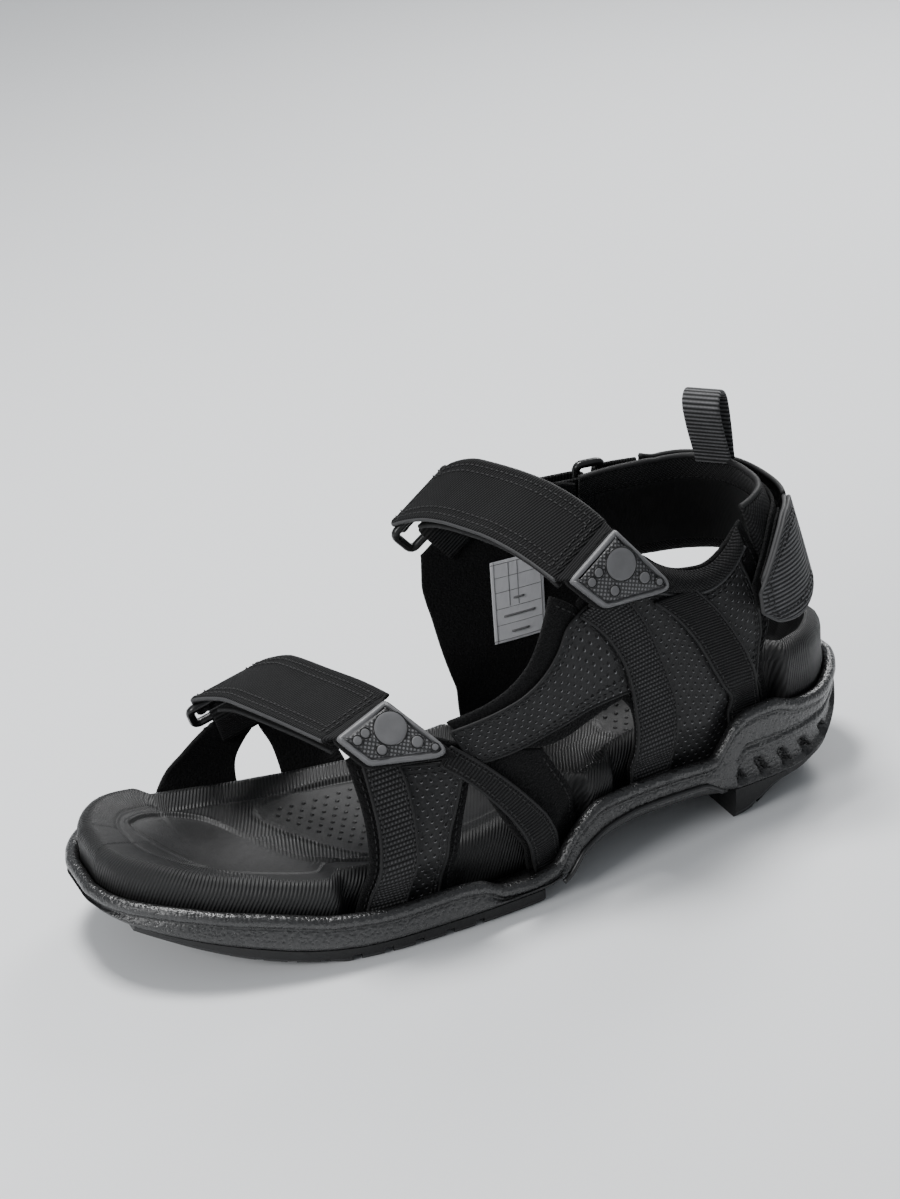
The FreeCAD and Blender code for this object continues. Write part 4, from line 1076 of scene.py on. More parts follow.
panels = {
    "lateral_forefoot_lining": (-1, 0, lining_thick, patch(
        legs([(-67, 0), (-61.5, 29), (-59.5, 40), (-59, 52), (-59.5, 62), (-60, 69)]),
        legs([(-31, 0), (-29, 28), (-27, 38), (-23.5, 49), (-20.5, 58), (-18.5, 65)]),
        high=[(-60, 69), (-48, 72), (-36, 73), (-26, 70), (-18.5, 65)])),
    "lateral_cross_lining": (-1, 0, lining_thick, patch(
        legs([(-1, 0), (-2, 20), (-7, 30), (-13, 42), (-17, 53), (-17, 65)]),
        legs([(21, 0), (19.5, 27), (17, 38), (11, 50), (7, 58)]))),
    "lateral_band_lining": (-1, 0, lining_thick, patch(
        [(-17, 66), (-21, 71), (-25, 76)],
        [(42.5, 64), (40.6, 78), (35, 91.5), (26.5, 103.5), (17.5, 110.5)],
        low=[(-17, 66), (-6, 63.5), (8, 59), (18, 59), (28, 61.5), (42.5, 64)],
        high=[(-25, 76), (-13, 78.5), (-2, 83), (7, 90), (13, 100), (17.5, 110.5)])),
    "lateral_quarter_lining": (-1, 0, lining_thick, patch(
        legs([(43.5, 0), (46, 40), (47, 50), (46, 58), (42.5, 64.5), (41, 78), (35.5, 92), (27, 104)]),
        legs([(106, 0), (104, 50), (101.5, 57), (102, 64), (106, 72), (107, 84), (103.5, 98), (98, 113)]),
        high=[(27, 104), (36, 110), (46, 115), (54, 114), (62, 108), (72, 103), (82, 102), (90, 106),
              (98, 113)], across=13, up=15)),
    "lateral_forefoot_overlay": (-1, leather_level, leather_thick, patch(
        legs([(-61, 0), (-57.5, 30), (-55.5, 42), (-55, 54), (-56, 66)]),
        legs([(-37, 0), (-34, 27), (-32, 37), (-28, 47), (-24, 57), (-22, 63)]))),
    "lateral_band_overlay": (-1, leather_level, leather_thick, patch(
        [(-20.5, 60.5), (-22.5, 67), (-25, 73)],
        [(45.4, 66), (43.2, 80), (37.2, 92), (29.5, 103)],
        low=[(-20.5, 60.5), (-8, 61), (2, 62.5), (15, 64.5), (27, 66), (45.4, 66)],
        high=[(-25, 73), (-10, 76), (5, 81), (15, 89), (22, 99), (29.5, 103)])),
    "lateral_quarter_overlay": (-1, leather_level, leather_thick, patch(
        legs([(48, 0), (50, 45), (50, 60), (46, 70), (44, 80), (38, 93), (31, 103)]),
        legs([(103, 0), (100.5, 50), (98.5, 57), (98.5, 64), (101, 72), (99.5, 86), (96, 97), (93, 106)]),
        high=[(31, 103), (42, 107), (52, 107), (62, 101), (72, 96.5), (82, 95), (89, 99), (93, 106)],
        across=11, up=12)),
    "lateral_front_webbing": (-1, webbing_level, webbing_thick, patch(
        legs([(-64, 0), (-60, 27), (-57, 38), (-56, 49), (-56, 60), (-56, 67)]),
        legs([(-50, 0), (-47, 24), (-44, 38), (-43, 51), (-43, 61), (-45, 69)]))),
    "lateral_cross_webbing": (-1, webbing_level, webbing_thick, patch(
        legs([(0, 0), (-2, 22), (-7, 34), (-14, 45), (-24, 57), (-31, 63)]),
        legs([(11, 0), (6, 31), (-2, 44), (-11, 55), (-19, 63), (-26, 69)]))),
    "lateral_quarter_front_webbing": (-1, webbing_level, webbing_thick, patch(
        legs([(43.5, 0), (44, 38), (45.5, 49), (45, 63), (42.5, 77), (38, 87), (32, 95), (26, 101)]),
        legs([(59, 0), (62, 42), (62.5, 55), (60, 67), (57, 78), (54, 87), (49, 97), (43, 105)]))),
    "lateral_quarter_rear_webbing": (-1, webbing_level, webbing_thick, patch(
        legs([(87, 0), (85, 50), (80, 61), (73, 76), (65, 88), (57, 96)]),
        legs([(101, 0), (98.5, 50), (95, 62), (90, 73), (83, 85), (74, 96)]))),
    "medial_toe_leg_lining": (1, 0, lining_thick, patch(
        legs([(-109, 0), (-106, 33), (-101, 39), (-95, 44), (-90, 49), (-85, 53.5)]),
        legs([(-75, 0), (-75, 28), (-73.5, 36), (-70, 43), (-66, 50), (-65.3, 59)]))),
    "medial_ball_leg_lining": (1, 0, lining_thick, patch(
        legs([(-57, 0), (-57.5, 28), (-59, 36), (-62, 43), (-64.5, 50), (-64.8, 59.2)]),
        legs([(-32, 0), (-35, 27), (-40, 37), (-46, 46), (-53, 54), (-58, 61)]))),
    "medial_toe_leg_overlay": (1, leather_level, leather_thick, patch(
        legs([(-105, 0), (-102, 34), (-97, 39), (-91, 44), (-86, 48), (-82, 52.5)]),
        legs([(-79, 0), (-79, 28), (-77, 36), (-73, 43), (-68, 50), (-66, 57)]))),
    "medial_ball_leg_overlay": (1, leather_level, leather_thick, patch(
        legs([(-53, 0), (-53.5, 28), (-55.5, 36), (-59, 43), (-62, 50), (-63.5, 57.5)]),
        legs([(-36, 0), (-39, 27), (-43, 36), (-49, 44), (-55, 51), (-60, 58.5)]))),
    "medial_toe_leg_webbing": (1, webbing_level, webbing_thick, patch(
        legs([(-101, 0), (-98, 32), (-93, 37.5), (-87, 41.5), (-82, 43.5)]),
        legs([(-84, 0), (-82, 29), (-79, 34), (-75, 40), (-71, 46)]))),
    "medial_ball_leg_webbing": (1, webbing_level, webbing_thick, patch(
        legs([(-51, 0), (-52, 28), (-55, 36), (-58.5, 42), (-62.5, 48)]),
        legs([(-38, 0), (-41, 27), (-45, 35), (-50, 42), (-56, 49.5)]))),
    "medial_quarter_lining": (1, 0, lining_thick, patch(
        legs([(11, 0), (10.5, 44), (9, 50), (6, 62), (3, 77), (0.5, 90), (1, 102)]),
        legs([(72, 0), (71, 50), (68, 65), (64, 78), (62, 98), (61.5, 116)]),
        high=[(1, 102), (12.5, 111.5), (23, 119), (40, 121), (61.5, 116)], across=12, up=15)),
    "medial_quarter_overlay": (1, leather_level, leather_thick, patch(
        legs([(16, 0), (15, 50), (11, 64), (8, 78), (5, 90), (5, 99)]),
        legs([(67, 0), (66, 50), (63, 65), (59.5, 80), (57, 96), (55, 109)]),
        high=[(5, 99), (13, 107), (24, 115), (40, 116), (55, 109)], across=12, up=15)),
    "medial_quarter_front_webbing": (1, webbing_level, webbing_thick, patch(
        legs([(20, 0), (19, 45), (15, 62), (11, 80), (10, 94)]),
        legs([(35, 0), (34, 45), (31, 65), (29, 85), (29, 109)]))),
    "medial_quarter_rear_webbing": (1, webbing_level, webbing_thick, patch(
        legs([(50, 0), (48, 50), (46, 68), (45, 84)]),
        legs([(64, 0), (62, 50), (58, 68), (56, 84)]))),
}
grid_webbing = ("lateral_front_webbing", "lateral_quarter_front_webbing", "medial_quarter_front_webbing")
sheets = {}


def panel_surface(side, grid):
    points = [[tuple(wall(side, x, z)) for x, z in row] for row in grid]
    middle = np.array(points).reshape(-1, 3).mean(0)
    return Surface(points, (middle[0], 0, middle[2]))


def make_panel(name):
    side, level, thick, grid = panels[name]
    surface = panel_surface(side, grid)
    sheets[name] = surface
    if name.endswith("lining"):
        material, slot = lining_fabric, "lining_fabric"
    elif name.endswith("overlay"):
        material, slot = leather, "perforated_leather"
    else:
        material, slot = (webbing_grid if name in grid_webbing else webbing), "webbing"
    mesh = sheet(Mesh(), surface, level, thick)
    piece = mesh.build(name + "_panel", "shoe", material, slot, [name])
    width = surface.width.mean() * MM
    length = surface.length * MM
    areas = np.linalg.norm(np.cross(np.gradient(surface.p, axis=1), np.gradient(surface.p, axis=0)), axis=2)
    flat = (max(width, surface.width.max() * MM), max(length, 0.01))
    area = min(areas.sum() * MM * MM, flat[0] * flat[1])
    area = max(area, 0.31 * flat[0] * flat[1])
    return piece


def make_panel_trim(name):
    """Edge cord and stitch rows of one panel."""
    _, level, thick, _ = panels[name]
    surface = sheets[name]
    outer = level + thick
    seams = Mesh()
    cord = Mesh()
    if name.endswith("overlay"):
        for edge in ("front", "rear", "high"):
            p, n = surface.line(edge, 0.2, outer - 0.1)
            tube(cord, p, 0.55)
            for inset in (1.9, 3.3):
                p, n = surface.line(edge, inset, outer + 0.02, 1.5, 1.5)
                stitches(seams, p, n)
        if "band" in name:
            p, n = surface.line("low", 0.2, outer - 0.1)
            tube(cord, p, 0.55)
            for inset in (1.9, 3.3):
                p, n = surface.line("low", inset, outer + 0.02, 1.5, 1.5)
                stitches(seams, p, n)
    elif name.endswith("webbing"):
        for edge in ("front", "rear"):
            p, n = surface.line(edge, 0.3, outer - 0.35)
            tube(cord, p, 0.6)
            p, n = surface.line(edge, 1.7, outer + 0.05, 1.5, 1.0)
            stitches(seams, p, n)
    else:
        for edge in ("front", "rear"):
            p, n = surface.line(edge, 2.2, outer + 0.05, 2.0, 2.0)
            stitches(seams, p, n, 2.7)
    if seams.count:
        seams.build(name + "_stitching", "shoe", thread, "webbing")
    if cord.count:
        cord.build(name + "_cord", "shoe", piping, "webbing")


def make_topline():
    """Padded knit roll along the dip of the lateral quarter and up its rear edge, with its piping."""
    top = [(50, 114.6), (54, 113.6), (62, 107.8), (72, 102.8), (82, 101.8), (90, 105.8), (95.4, 112)]
    low = [(49, 104.5), (53, 102.5), (61, 98), (71, 94.2), (82, 93.2), (91, 97), (97.5, 104)]
    grid = []
    count = 9
    for k in range(count):
        t = k / (count - 1)
        row = []
        for a, b in zip(low, top):
            x = a[0] + (b[0] - a[0]) * t
            z = a[1] + (b[1] - a[1]) * t
            row.append(tuple(wall(-1, x, z, leather_level + leather_thick * 0.4)))
        grid.append(row)
    surface = Surface(grid, (75, 0, 100))
    rows, cols, _ = surface.p.shape
    s = np.linspace(0, 1, rows)[:, None]
    t = np.linspace(0, 1, cols)[None, :]
    round_over = np.sqrt(np.clip(1 - (2 * s - 1) ** 2, 0, 1))
    lift = 2.2 * round_over * np.clip(np.minimum(t, 1 - t) / 0.06, 0, 1) ** 0.5
    mesh = sheet(Mesh(), surface, 0.0, 0.9, lift)
    piece = mesh.build("lateral_topline_roll", "shoe", collar_knit, "lining_fabric")
    cord = Mesh()
    p, _ = surface.line("low", 0.0, 0.9)
    tube(cord, p, 0.7)
    cord.build("lateral_topline_cord", "shoe", piping_grey, "webbing")
    seams = Mesh()
    for inset in (-1.8, -3.6):
        line = [wall(-1, x + 0.2, z + inset, leather_level + leather_thick + 0.15) for x, z in low]
        line = resample(np.array([tuple(p) for p in line]), 60)
        normals = np.tile([0.0, -1.0, 0.1], (len(line), 1))
        stitches(seams, line, normals)
    seams.build("lateral_topline_stitching", "shoe", thread, "webbing")


def make_size_label():
    """Printed label inside the medial quarter, with plain bars in place of any words."""
    x, z = 36.5, 76.5
    half_w, half_h = label_width / 2, label_height / 2
    grid = patch([(x - half_w, z - half_h), (x - half_w, z + half_h)],
                 [(x + half_w, z - half_h), (x + half_w, z + half_h)], across=4, up=4)
    points = [[tuple(wall(1, a, b, -glue_gap - label_thick)) for a, b in row] for row in grid]
    surface = Surface(points, (x, 0, z), 24, 16)
    mesh = sheet(Mesh(), surface, 0.0, label_thick)
    piece = mesh.build("size_label_sheet", "shoe", label_satin, "label_print", ["size_label"])
    ink = Mesh()
    edges = [surface.line(edge, 1.2, -0.06)[0] for edge in ("front", "rear", "low", "high")]
    for line in edges:
        tube(ink, line, 0.12, 4)
    for share in (0.22, 0.42, 0.62, 0.80):
        p, _ = surface.line("low", surface.length * min(share, 0.499), -0.06, 1.2, 1.2)
        if share > 0.5:
            p, _ = surface.line("high", surface.length * (1 - share), -0.06, 1.2, 1.2)
        tube(ink, p, 0.10, 4)
    for share in (0.33, 0.5):
        inset = surface.width.mean() * min(share, 0.499)
        p, _ = surface.line("front", inset, -0.06, surface.length * 0.42, 1.2)
        tube(ink, p, 0.10, 4)
    for share, trim in ((0.12, 6.0), (0.32, 4.0), (0.52, 8.0)):
        edge, part = ("low", share) if share < 0.5 else ("high", 1 - share)
        p, _ = surface.line(edge, surface.length * part, -0.06, trim, trim)
        tube(ink, p, 0.45, 6)
    ink.build("size_label_marks", "shoe", label_ink, "label_print")


# ---------------------------------------------------------------- straps
def vec(v):
    return np.array(tuple(v), float)


class Strap:
    """A fold-back strap, as in the CAD source."""

    def __init__(self, front, rear, keeper_at, ring_turn):
        self.keeper_at = keeper_at
        self.turn_angle = math.radians(ring_turn)
        x, z = keeper_at
        self.middle_level = (lining_thick + glue_gap + leather_thick) / 2
        level = self.middle_level
        self.keeper = vec(wall(1, x, z, level))
        turn = self.turn_angle
        ahead = vec(wall(1, x + 2 * math.cos(turn), z + 2 * math.sin(turn), level))
        behind = vec(wall(1, x - 2 * math.cos(turn), z - 2 * math.sin(turn), level))
        self.bar = unit(ahead - behind)
        down = vec(wall(1, x + 3 * math.sin(turn), z - 3 * math.cos(turn), level)) - self.keeper
        self.down = unit(down - self.bar * (down @ self.bar))
        self.out = np.cross(self.bar, self.down)
        if self.out[1] < 0:
            self.out = -self.out
        self.centre = self.keeper - self.down * ring_height
        self.front = path(front)
        self.rear = path(rear)
        arrive = (vec(self.front(1)) + vec(self.rear(1)) - vec(self.front(0.9)) - vec(self.rear(0.9))) / 2
        self.ahead = unit(arrive - self.bar * (arrive @ self.bar))
        self.up = np.cross(self.bar, self.ahead)
        if self.up[2] < 0:
            self.up = -self.up
        self.turn_radius = ring_bar_radius + ring_clear

    def at(self, t):
        """Middle of the outer face, direction across and direction up, at t along the strap."""
        f, r = vec(self.front(t)), vec(self.rear(t))
        a = (vec(self.front(min(t + 0.02, 1))) + vec(self.rear(min(t + 0.02, 1)))) / 2
        b = (vec(self.front(max(t - 0.02, 0))) + vec(self.rear(max(t - 0.02, 0)))) / 2
        across = unit(r - f)
        up = np.cross(across, unit(a - b))
        up = unit(up if up[2] > 0 else -up)
        blend = ease((t - 0.80) / 0.20)
        end = self.centre + self.up * (self.turn_radius + strap_thick)
        middle = (f + r) / 2 * (1 - blend) + end * blend
        across = unit(across * (1 - blend) + self.bar * blend)
        return middle, across, unit(up * (1 - blend) + self.up * blend)

    def sections(self, first, last, depth, thick, trim=0.0, count=16, profile=None):
        if profile is None:
            profile = band_profile(strap_width / 2 - trim, thick)
        rows = []
        for t in spread(first, last, count):
            middle, across, up = self.at(t)
            rows.append([middle + across * x + up * (z - depth - thick) for x, z in profile])
        return rows, profile[:, 0]

    def turn(self, first, last, profile, count=14):
        rows = []
        for a in spread(first, last, count):
            ray = self.up * math.cos(math.radians(a)) + self.ahead * math.sin(math.radians(a))
            rows.append([self.centre + ray * (self.turn_radius + z) + self.bar * x for x, z in profile])
        return rows

    def line(self, x, first, last, lift=0.0, turn_to=0.0, count=60):
        """Points and normals along the outer face at x across the strap, and round the loop's bar."""
        p, n = [], []
        for t in spread(first, last, count):
            middle, across, up = self.at(t)
            p.append(middle + across * x + up * lift)
            n.append(up)
        if turn_to:
            for a in spread(5, turn_to, 12):
                ray = self.up * math.cos(math.radians(a)) + self.ahead * math.sin(math.radians(a))
                p.append(self.centre + ray * (self.turn_radius + strap_thick + lift) + self.bar * x)
                n.append(ray)
        return np.array(p), np.array(n)

    def tail(self, down, level):
        """Frame of a keeper tail, down mm below the keeper bar."""
        x = self.keeper_at[0] + down * math.sin(self.turn_angle)
        z = self.keeper_at[1] - down * math.cos(self.turn_angle)
        near = vec(wall(1, x, z, self.middle_level))
        out = unit(vec(wall(1, x, z, self.middle_level + 1)) - near)
        return near + out * level, out


def strap_profile():
    """Strap with a slightly raised, bound border along both edges."""
    profile = band_profile(strap_width / 2, strap_thick, 30)
    border = np.abs(profile[:, 0]) > strap_width / 2 - 1.9
    profile[:, 1] += np.where((profile[:, 1] > strap_thick * 0.9) & ~border, -0.28, 0.0)
    return profile


def make_strap(name, strap, corners):
    flap, link = name + "_flap", name + "_ring_link"
    profile = strap_profile()
    rows, across = strap.sections(tab_seam, 1.0, 0.0, strap_thick, count=44, profile=profile)
    rows += strap.turn(0, fold_turn, profile)[1:]
    sweep(Mesh(), rows, uv_across=across).build(name + "_strap_band", flap, strap_twill, "strap_fabric",
                                                [name + "_strap"])
    half = strap_width / 2
    seams = Mesh()
    for x in (-half + 2.9, -half + 5.6, half - 2.9, half - 5.6):
        p, n = strap.line(x, tab_seam + 0.05, 1.0, -0.20, 60)
        stitches(seams, p, n, 2.2, 1.6, 0.3)
    for t in (tab_seam + 0.025, tab_seam + 0.055):
        middle, side, up = strap.at(t)
        p = np.array([middle + side * x - up * 0.2 for x in np.linspace(-half + 3, half - 3, 30)])
        stitches(seams, p, np.tile(up, (30, 1)), 2.2, 1.6, 0.3)
    seams.build(name + "_strap_stitching", flap, thread, "strap_fabric")
    cord = Mesh()
    p, _ = strap.line(-half + 0.35, tab_seam, 1.0, -strap_thick * 0.55, 165)
    tube(cord, p, 0.85)
    cord.build(name + "_strap_piping", flap, piping_grey, "strap_fabric")
    cord = Mesh()
    p, _ = strap.line(half - 0.35, tab_seam, 1.0, -strap_thick * 0.55, 165)
    tube(cord, p, 0.75)
    cord.build(name + "_strap_rear_piping", flap, piping, "strap_fabric")
    depth = strap_thick + 2 * strap.turn_radius
    rows, across = strap.sections(0.04, 0.88, depth, strap_base_thick, 1.2, 40)
    mesh = sweep(Mesh(), rows, uv_across=across)
    mesh.build(name + "_strap_base_band", "shoe", lining_fabric, "strap_fabric", [name + "_strap_base"])
    cord = Mesh()
    for edge in (-half + 1.4, half - 1.4):
        p, _ = strap.line(edge, 0.04, 0.88, -depth - strap_base_thick * 0.5)
        tube(cord, p, 0.9)
    cord.build(name + "_strap_base_piping", "shoe", piping, "strap_fabric")
    rows, across = strap.sections(0.05, 0.42, strap_thick + glue_gap, pad_thick, 2.5, 20)
    mesh = sweep(Mesh(), rows, uv_across=across)
    mesh.build(name + "_hook_pad_band", flap, hook_pile, "hook_and_loop", [name + "_hook_pad"])
    rows, across = strap.sections(0.05, 0.52, depth - glue_gap - pad_thick, pad_thick, 2.5, 24)
    mesh = sweep(Mesh(), rows, uv_across=across)
    mesh.build(name + "_loop_pad_band", "shoe", lining_fabric, "hook_and_loop", [name + "_loop_pad"])
    a, b, c, d = [np.array(p, float) for p in corners]
    normal = unit(np.cross(c - a, d - b))
    normal = -normal if normal[1] > 0 else normal
    rows, _ = strap.sections(tab_seam, tab_seam + 0.01, 0.0, strap_thick, count=2, profile=profile)
    ends = []
    for inset in (0.0, 2.5):
        middle = (a + b) / 2 + unit((c + d) / 2 - (a + b) / 2) * inset
        ends.append([middle + unit(b - a) * x * (np.linalg.norm(b - a) / strap_width) * 0.97
                     + normal * (z - 0.4) for x, z in profile])
    middle = [(np.array(p) + np.array(q)) / 2 for p, q in zip(rows[0], ends[0])]
    sweep(Mesh(), [rows[1], rows[0], middle] + ends).build(name + "_strap_seam_band", flap, strap_twill,
                                                           "strap_fabric")
    backing = smooth_plate([a, b, c, d], normal, -2.6, 0.1, 0.9)
    backing.build(name + "_strap_tab_backing", flap, lining_fabric, "strap_fabric")
    make_ring(name + "_ring", link, strap.centre, strap.keeper, strap.bar, strap_width)
    make_keeper(name + "_ring_keeper", strap)
    make_tab(name + "_strap_tab", flap, corners, 1.5)


def make_ring(name, body, centre, keeper, bar, width):
    """Moulded loop: two round bars joined by rounded sides."""
    half = width / 2 + ring_side_clear + ring_side / 2
    down = unit(keeper - centre)
    corner = 2.2
    loop = []
    for place, along, start in ((centre, 1, 90), (keeper, 1, 0), (keeper, -1, -90), (centre, -1, 180)):
        toward = down * (corner if place is centre else -corner)
        turn_at = place + bar * along * (half - corner) + toward
        for a in spread(start, start - 90, 6):
            t = math.radians(a)
            loop.append(turn_at + bar * corner * math.cos(t) - down * corner * math.sin(t))
    loop, _ = even_loop(loop, 96)
    mesh = tube(Mesh(), loop, ring_bar_radius, 14, closed=True)
    mesh.build(name + "_moulded", body, ring_plastic, "ring_plastic", [name])


def make_keeper(name, strap):
    radius = strap.turn_radius
    profile = band_profile(keeper_width / 2, keeper_thick, 14)
    rows = []
    for d in spread(keeper_tail, 1.5, 8):
        place, out = strap.tail(d, radius)
        rows.append([place + out * z + strap.bar * x for x, z in profile])
    for a in spread(0, 180, 12):
        ray = strap.out * math.cos(math.radians(a)) - strap.down * math.sin(math.radians(a))
        rows.append([strap.keeper + ray * (radius + z) + strap.bar * x for x, z in profile])
    for d in spread(1.5, keeper_tail, 8):
        place, out = strap.tail(d, -radius)
        rows.append([place - out * z + strap.bar * x for x, z in profile])
    sweep(Mesh(), rows, uv_across=profile[:, 0]).build(name + "_band", "shoe", webbing, "webbing", [name])
    seams = Mesh()
    for d in (7.0, 11.0):
        place, out = strap.tail(d, radius + keeper_thick)
        reach = keeper_width / 2 - 2
        p = np.array([place + strap.bar * x for x in np.linspace(-reach, reach, 20)])
        stitches(seams, p, np.tile(out, (20, 1)))
    seams.build(name + "_stitching", "shoe", thread, "webbing")


def smooth_plate(corners, normal, low, high, grow):
    """Plate with rounded corners over four points, from low to high along the normal."""
    middle = sum(corners) / 4
    outline = []
    for k in range(4):
        p = corners[k]
        u, v = unit(corners[k - 1] - p), unit(corners[(k + 1) % 4] - p)
        back = 3.0
        for t in spread(0, 1, 7):
            q = (1 - t) ** 2 * (p + u * back) + 2 * t * (1 - t) * p + t * t * (p + v * back)
            outline.append(q + unit(q - middle) * grow)
    outline = np.array(outline)
    rings = [outline * 0.98 + middle * 0.02 + normal * low, outline + normal * (low + 0.4),
             outline + normal * (high - 0.4), outline * 0.98 + middle * 0.02 + normal * high]
    mesh = Mesh()
    count = len(outline)
    mesh.add(np.array(rings), quads(4, count, wrap=True) + [list(range(count))[::-1],
                                                            [3 * count + k for k in range(count)]])
    return mesh


tab_discs = ((0.66, 0.35, 5.6), (0.35, 0.24, 1.55), (0.18, 0.30, 1.5), (0.30, 0.66, 1.65), (0.75, 0.68, 1.95),
             (0.86, 0.82, 1.15))


def make_tab(name, body, corners, crown):
    """Moulded tab: raised rim, dotted field and smooth round discs."""
    a, b, c, d = [np.array(p, float) for p in corners]
    normal = unit(np.cross(c - a, d - b))
    if normal[1] > 0:
        normal = -normal
    middle = (a + b + c + d) / 4
    right = unit(c - a - normal * ((c - a) @ normal))
    over = np.cross(normal, right)

    def bilinear(s, t):
        return (a * (1 - s) + b * s) * (1 - t) + (d * (1 - s) + c * s) * t

    corner_radius = {0: 1.6, 1: 1.6, 2: 4.0, 3: 4.5}
    outline = []
    corner_points = [a, b, c, d]
    for k in range(4):
        p = corner_points[k]
        before = corner_points[k - 1]
        after = corner_points[(k + 1) % 4]
        u, v = unit(before - p), unit(after - p)
        angle = math.acos(np.clip(u @ v, -1, 1))
        back = corner_radius[k] / math.tan(angle / 2)
        start, end = p + u * back, p + v * back
        for t in spread(0, 1, 9):
            outline.append((1 - t) ** 2 * start + 2 * t * (1 - t) * p + t * t * end)
    count = 180
    outline, _ = even_loop(outline, count)
    tangent = unit(np.roll(outline, -1, 0) - np.roll(outline, 1, 0))
    inward = np.cross(normal, tangent)
    inward = unit(inward * np.sign((inward * (middle - outline)).sum(1))[:, None])
    seam_share = np.array([ease(1 - abs((p - a) @ unit(np.cross(b - a, normal))) / 2.5) for p in outline])
    rim_tall = 0.75 * (1 - 0.8 * seam_share)

    def ring(inset, height):
        p = outline + inward * inset
        far = np.linalg.norm(p - middle, axis=1) / np.linalg.norm(outline - middle, axis=1)
        lift = crown * np.clip(1 - far ** 2, 0, 1)
        return p + normal * np.asarray(lift + height)[:, None]

    base = glue_gap
    face = base + tab_thick - 0.75
    groove = base + tab_thick - 1.3
    rings = [ring(inset, height + rim_tall * share)
             for inset, height, share in ((1.0, base, 0), (0.3, base, 0), (0.0, base + 0.5, 0),
                                          (0.05, base + 1.5, 0), (0.5, face - 0.15, 0.6), (0.9, face, 1),
                                          (1.4, face, 1), (1.7, face, 0.3), (1.8, groove, 0),
                                          (2.2, groove, 0), (2.35, face, 0))]
    shell = Mesh()
    faces = quads(len(rings), count, wrap=True)
    faces.append(list(range(count))[::-1])
    faces.append([(len(rings) - 1) * count + k for k in range(count)])
    shell.add(np.array(rings), faces)
    shell.build(name + "_rim", body, tab_rubber, "tab_rubber", [name], angle=40)
    field = Mesh()
    rows = []
    uv = []
    edge = outline + inward * 2.3
    for share in spread(1.0, 0.02, 14):
        p = middle + (edge - middle) * share
        far = np.linalg.norm(p - middle, axis=1) / np.linalg.norm(outline - middle, axis=1)
        height = crown * np.clip(1 - far ** 2, 0, 1) + base + tab_thick - 0.72
        rows.append(p + normal * height[:, None])
        uv.append(np.stack([(p - middle) @ right, (p - middle) @ over], -1))
    rows.append(rows[-1] - normal * 1.0)
    uv.append(uv[-1])
    rows.append(rows[0] - normal * 0.6)
    uv.append(uv[0])
    field.add(np.array(rows), quads(len(rows), count, wrap=True) + [
        [(len(rows) - 1) * count + k, (len(rows) - 1) * count + (k + 1) % count, (k + 1) % count, k]
        for k in range(count)], np.array(uv))
    field.build(name + "_field", body, tab_field, "tab_rubber")
    discs = Mesh()
    groove_shade_cords = Mesh()
    for s, t, radius in tab_discs:
        p = bilinear(s, t)
        far = np.linalg.norm(p - middle) / 24.0
        centre = p + normal * (crown * max(1 - far ** 2, 0) + base + tab_thick - 0.72)
        disc(discs, centre, radius, right, over, normal)
        # painted shade: a near-black cord around each disc stands in for the shade in its moulded groove
        around = np.linspace(0, 2 * math.pi, 40, endpoint=False)
        circle = np.array([centre + (right * math.cos(q) + over * math.sin(q)) * (radius + 0.28)
                           + normal * 0.05 for q in around])
        tube(groove_shade_cords, circle, 0.26, 6, closed=True)
    discs.build(name + "_discs", body, tab_rubber, "tab_rubber", angle=50)
    groove_shade_cords.build(name + "_disc_groove_shade", body, ring_plastic, "tab_rubber")


def disc(mesh, centre, radius, right, over, normal):
    """Smooth round disc, slightly domed, standing just proud of the field."""
    sides = 40
    points = []
    for share, height in ((1.0, -0.4), (1.0, 0.22), (0.93, 0.38), (0.75, 0.42), (0.4, 0.46), (0.05, 0.47)):
        for k in range(sides):
            q = 2 * math.pi * k / sides
            ray = right * math.cos(q) + over * math.sin(q)
            points.append(centre + ray * radius * share + normal * height)
    faces = quads(6, sides, wrap=True)
    faces.append(list(range(sides))[::-1])
    faces.append([5 * sides + k for k in range(sides)])
    mesh.add(points, faces)


# ---------------------------------------------------------------- heel
heel_base_level = collar_thick + glue_gap
heel_loop_level = heel_base_level + heel_base_thick + glue_gap
heel_hook_level = heel_loop_level + heel_pad_thick + fastener_clear
heel_strap_level = heel_hook_level + heel_pad_thick + glue_gap
heel_tab_level = heel_strap_level + heel_strap_thick + glue_gap
heel_ring_run = -17.0
heel_ring_z = 103.0
heel_split = 118.0
collar_low = 77.0
heel_top = path([(-12, 116), (20, 116), (60, 114.5), (90, 114), (118, 114), (138, 113), (152, 108), (165, 99),
                 (174, 90)])
heel_low = path([(-12, 90), (20, 89), (60, 87), (90, 85.5), (118, 82), (138, 78), (152, 76), (165, 77.5),
                 (174, 83)])


def rail_z(rail, run):
    low, high = 0.0, 1.0
    for _ in range(30):
        middle = (low + high) / 2
        if rail(middle)[0] < run:
            low = middle
        else:
            high = middle
    return rail(low)[1]


def heel_surface(first, last, level, trim=0.0, count=17, rows=5):
    grid = []
    for share in spread(0, 1, rows):
        row = []
        for run in spread(first, last, count):
            top = rail_z(heel_top, run) - trim
            low = rail_z(heel_low, run) + trim
            row.append(tuple(round_wall(run, low + (top - low) * share, level)))
        grid.append(row)
    return Surface(grid, (heel_turn, 0, 95))


def make_heel_band(name, body, surface, thick, material, slot):
    return sheet(Mesh(), surface, 0.0, thick).build(name + "_band", body, material, slot, [name])


def edge_trim(name, body, surface, thick, edges, radius, material, slot="strap_fabric"):
    cord = Mesh()
    for edge in edges:
        p, _ = surface.line(edge, 0.1, thick / 2)
        tube(cord, p, radius)
    return cord.build(name, body, material, slot)


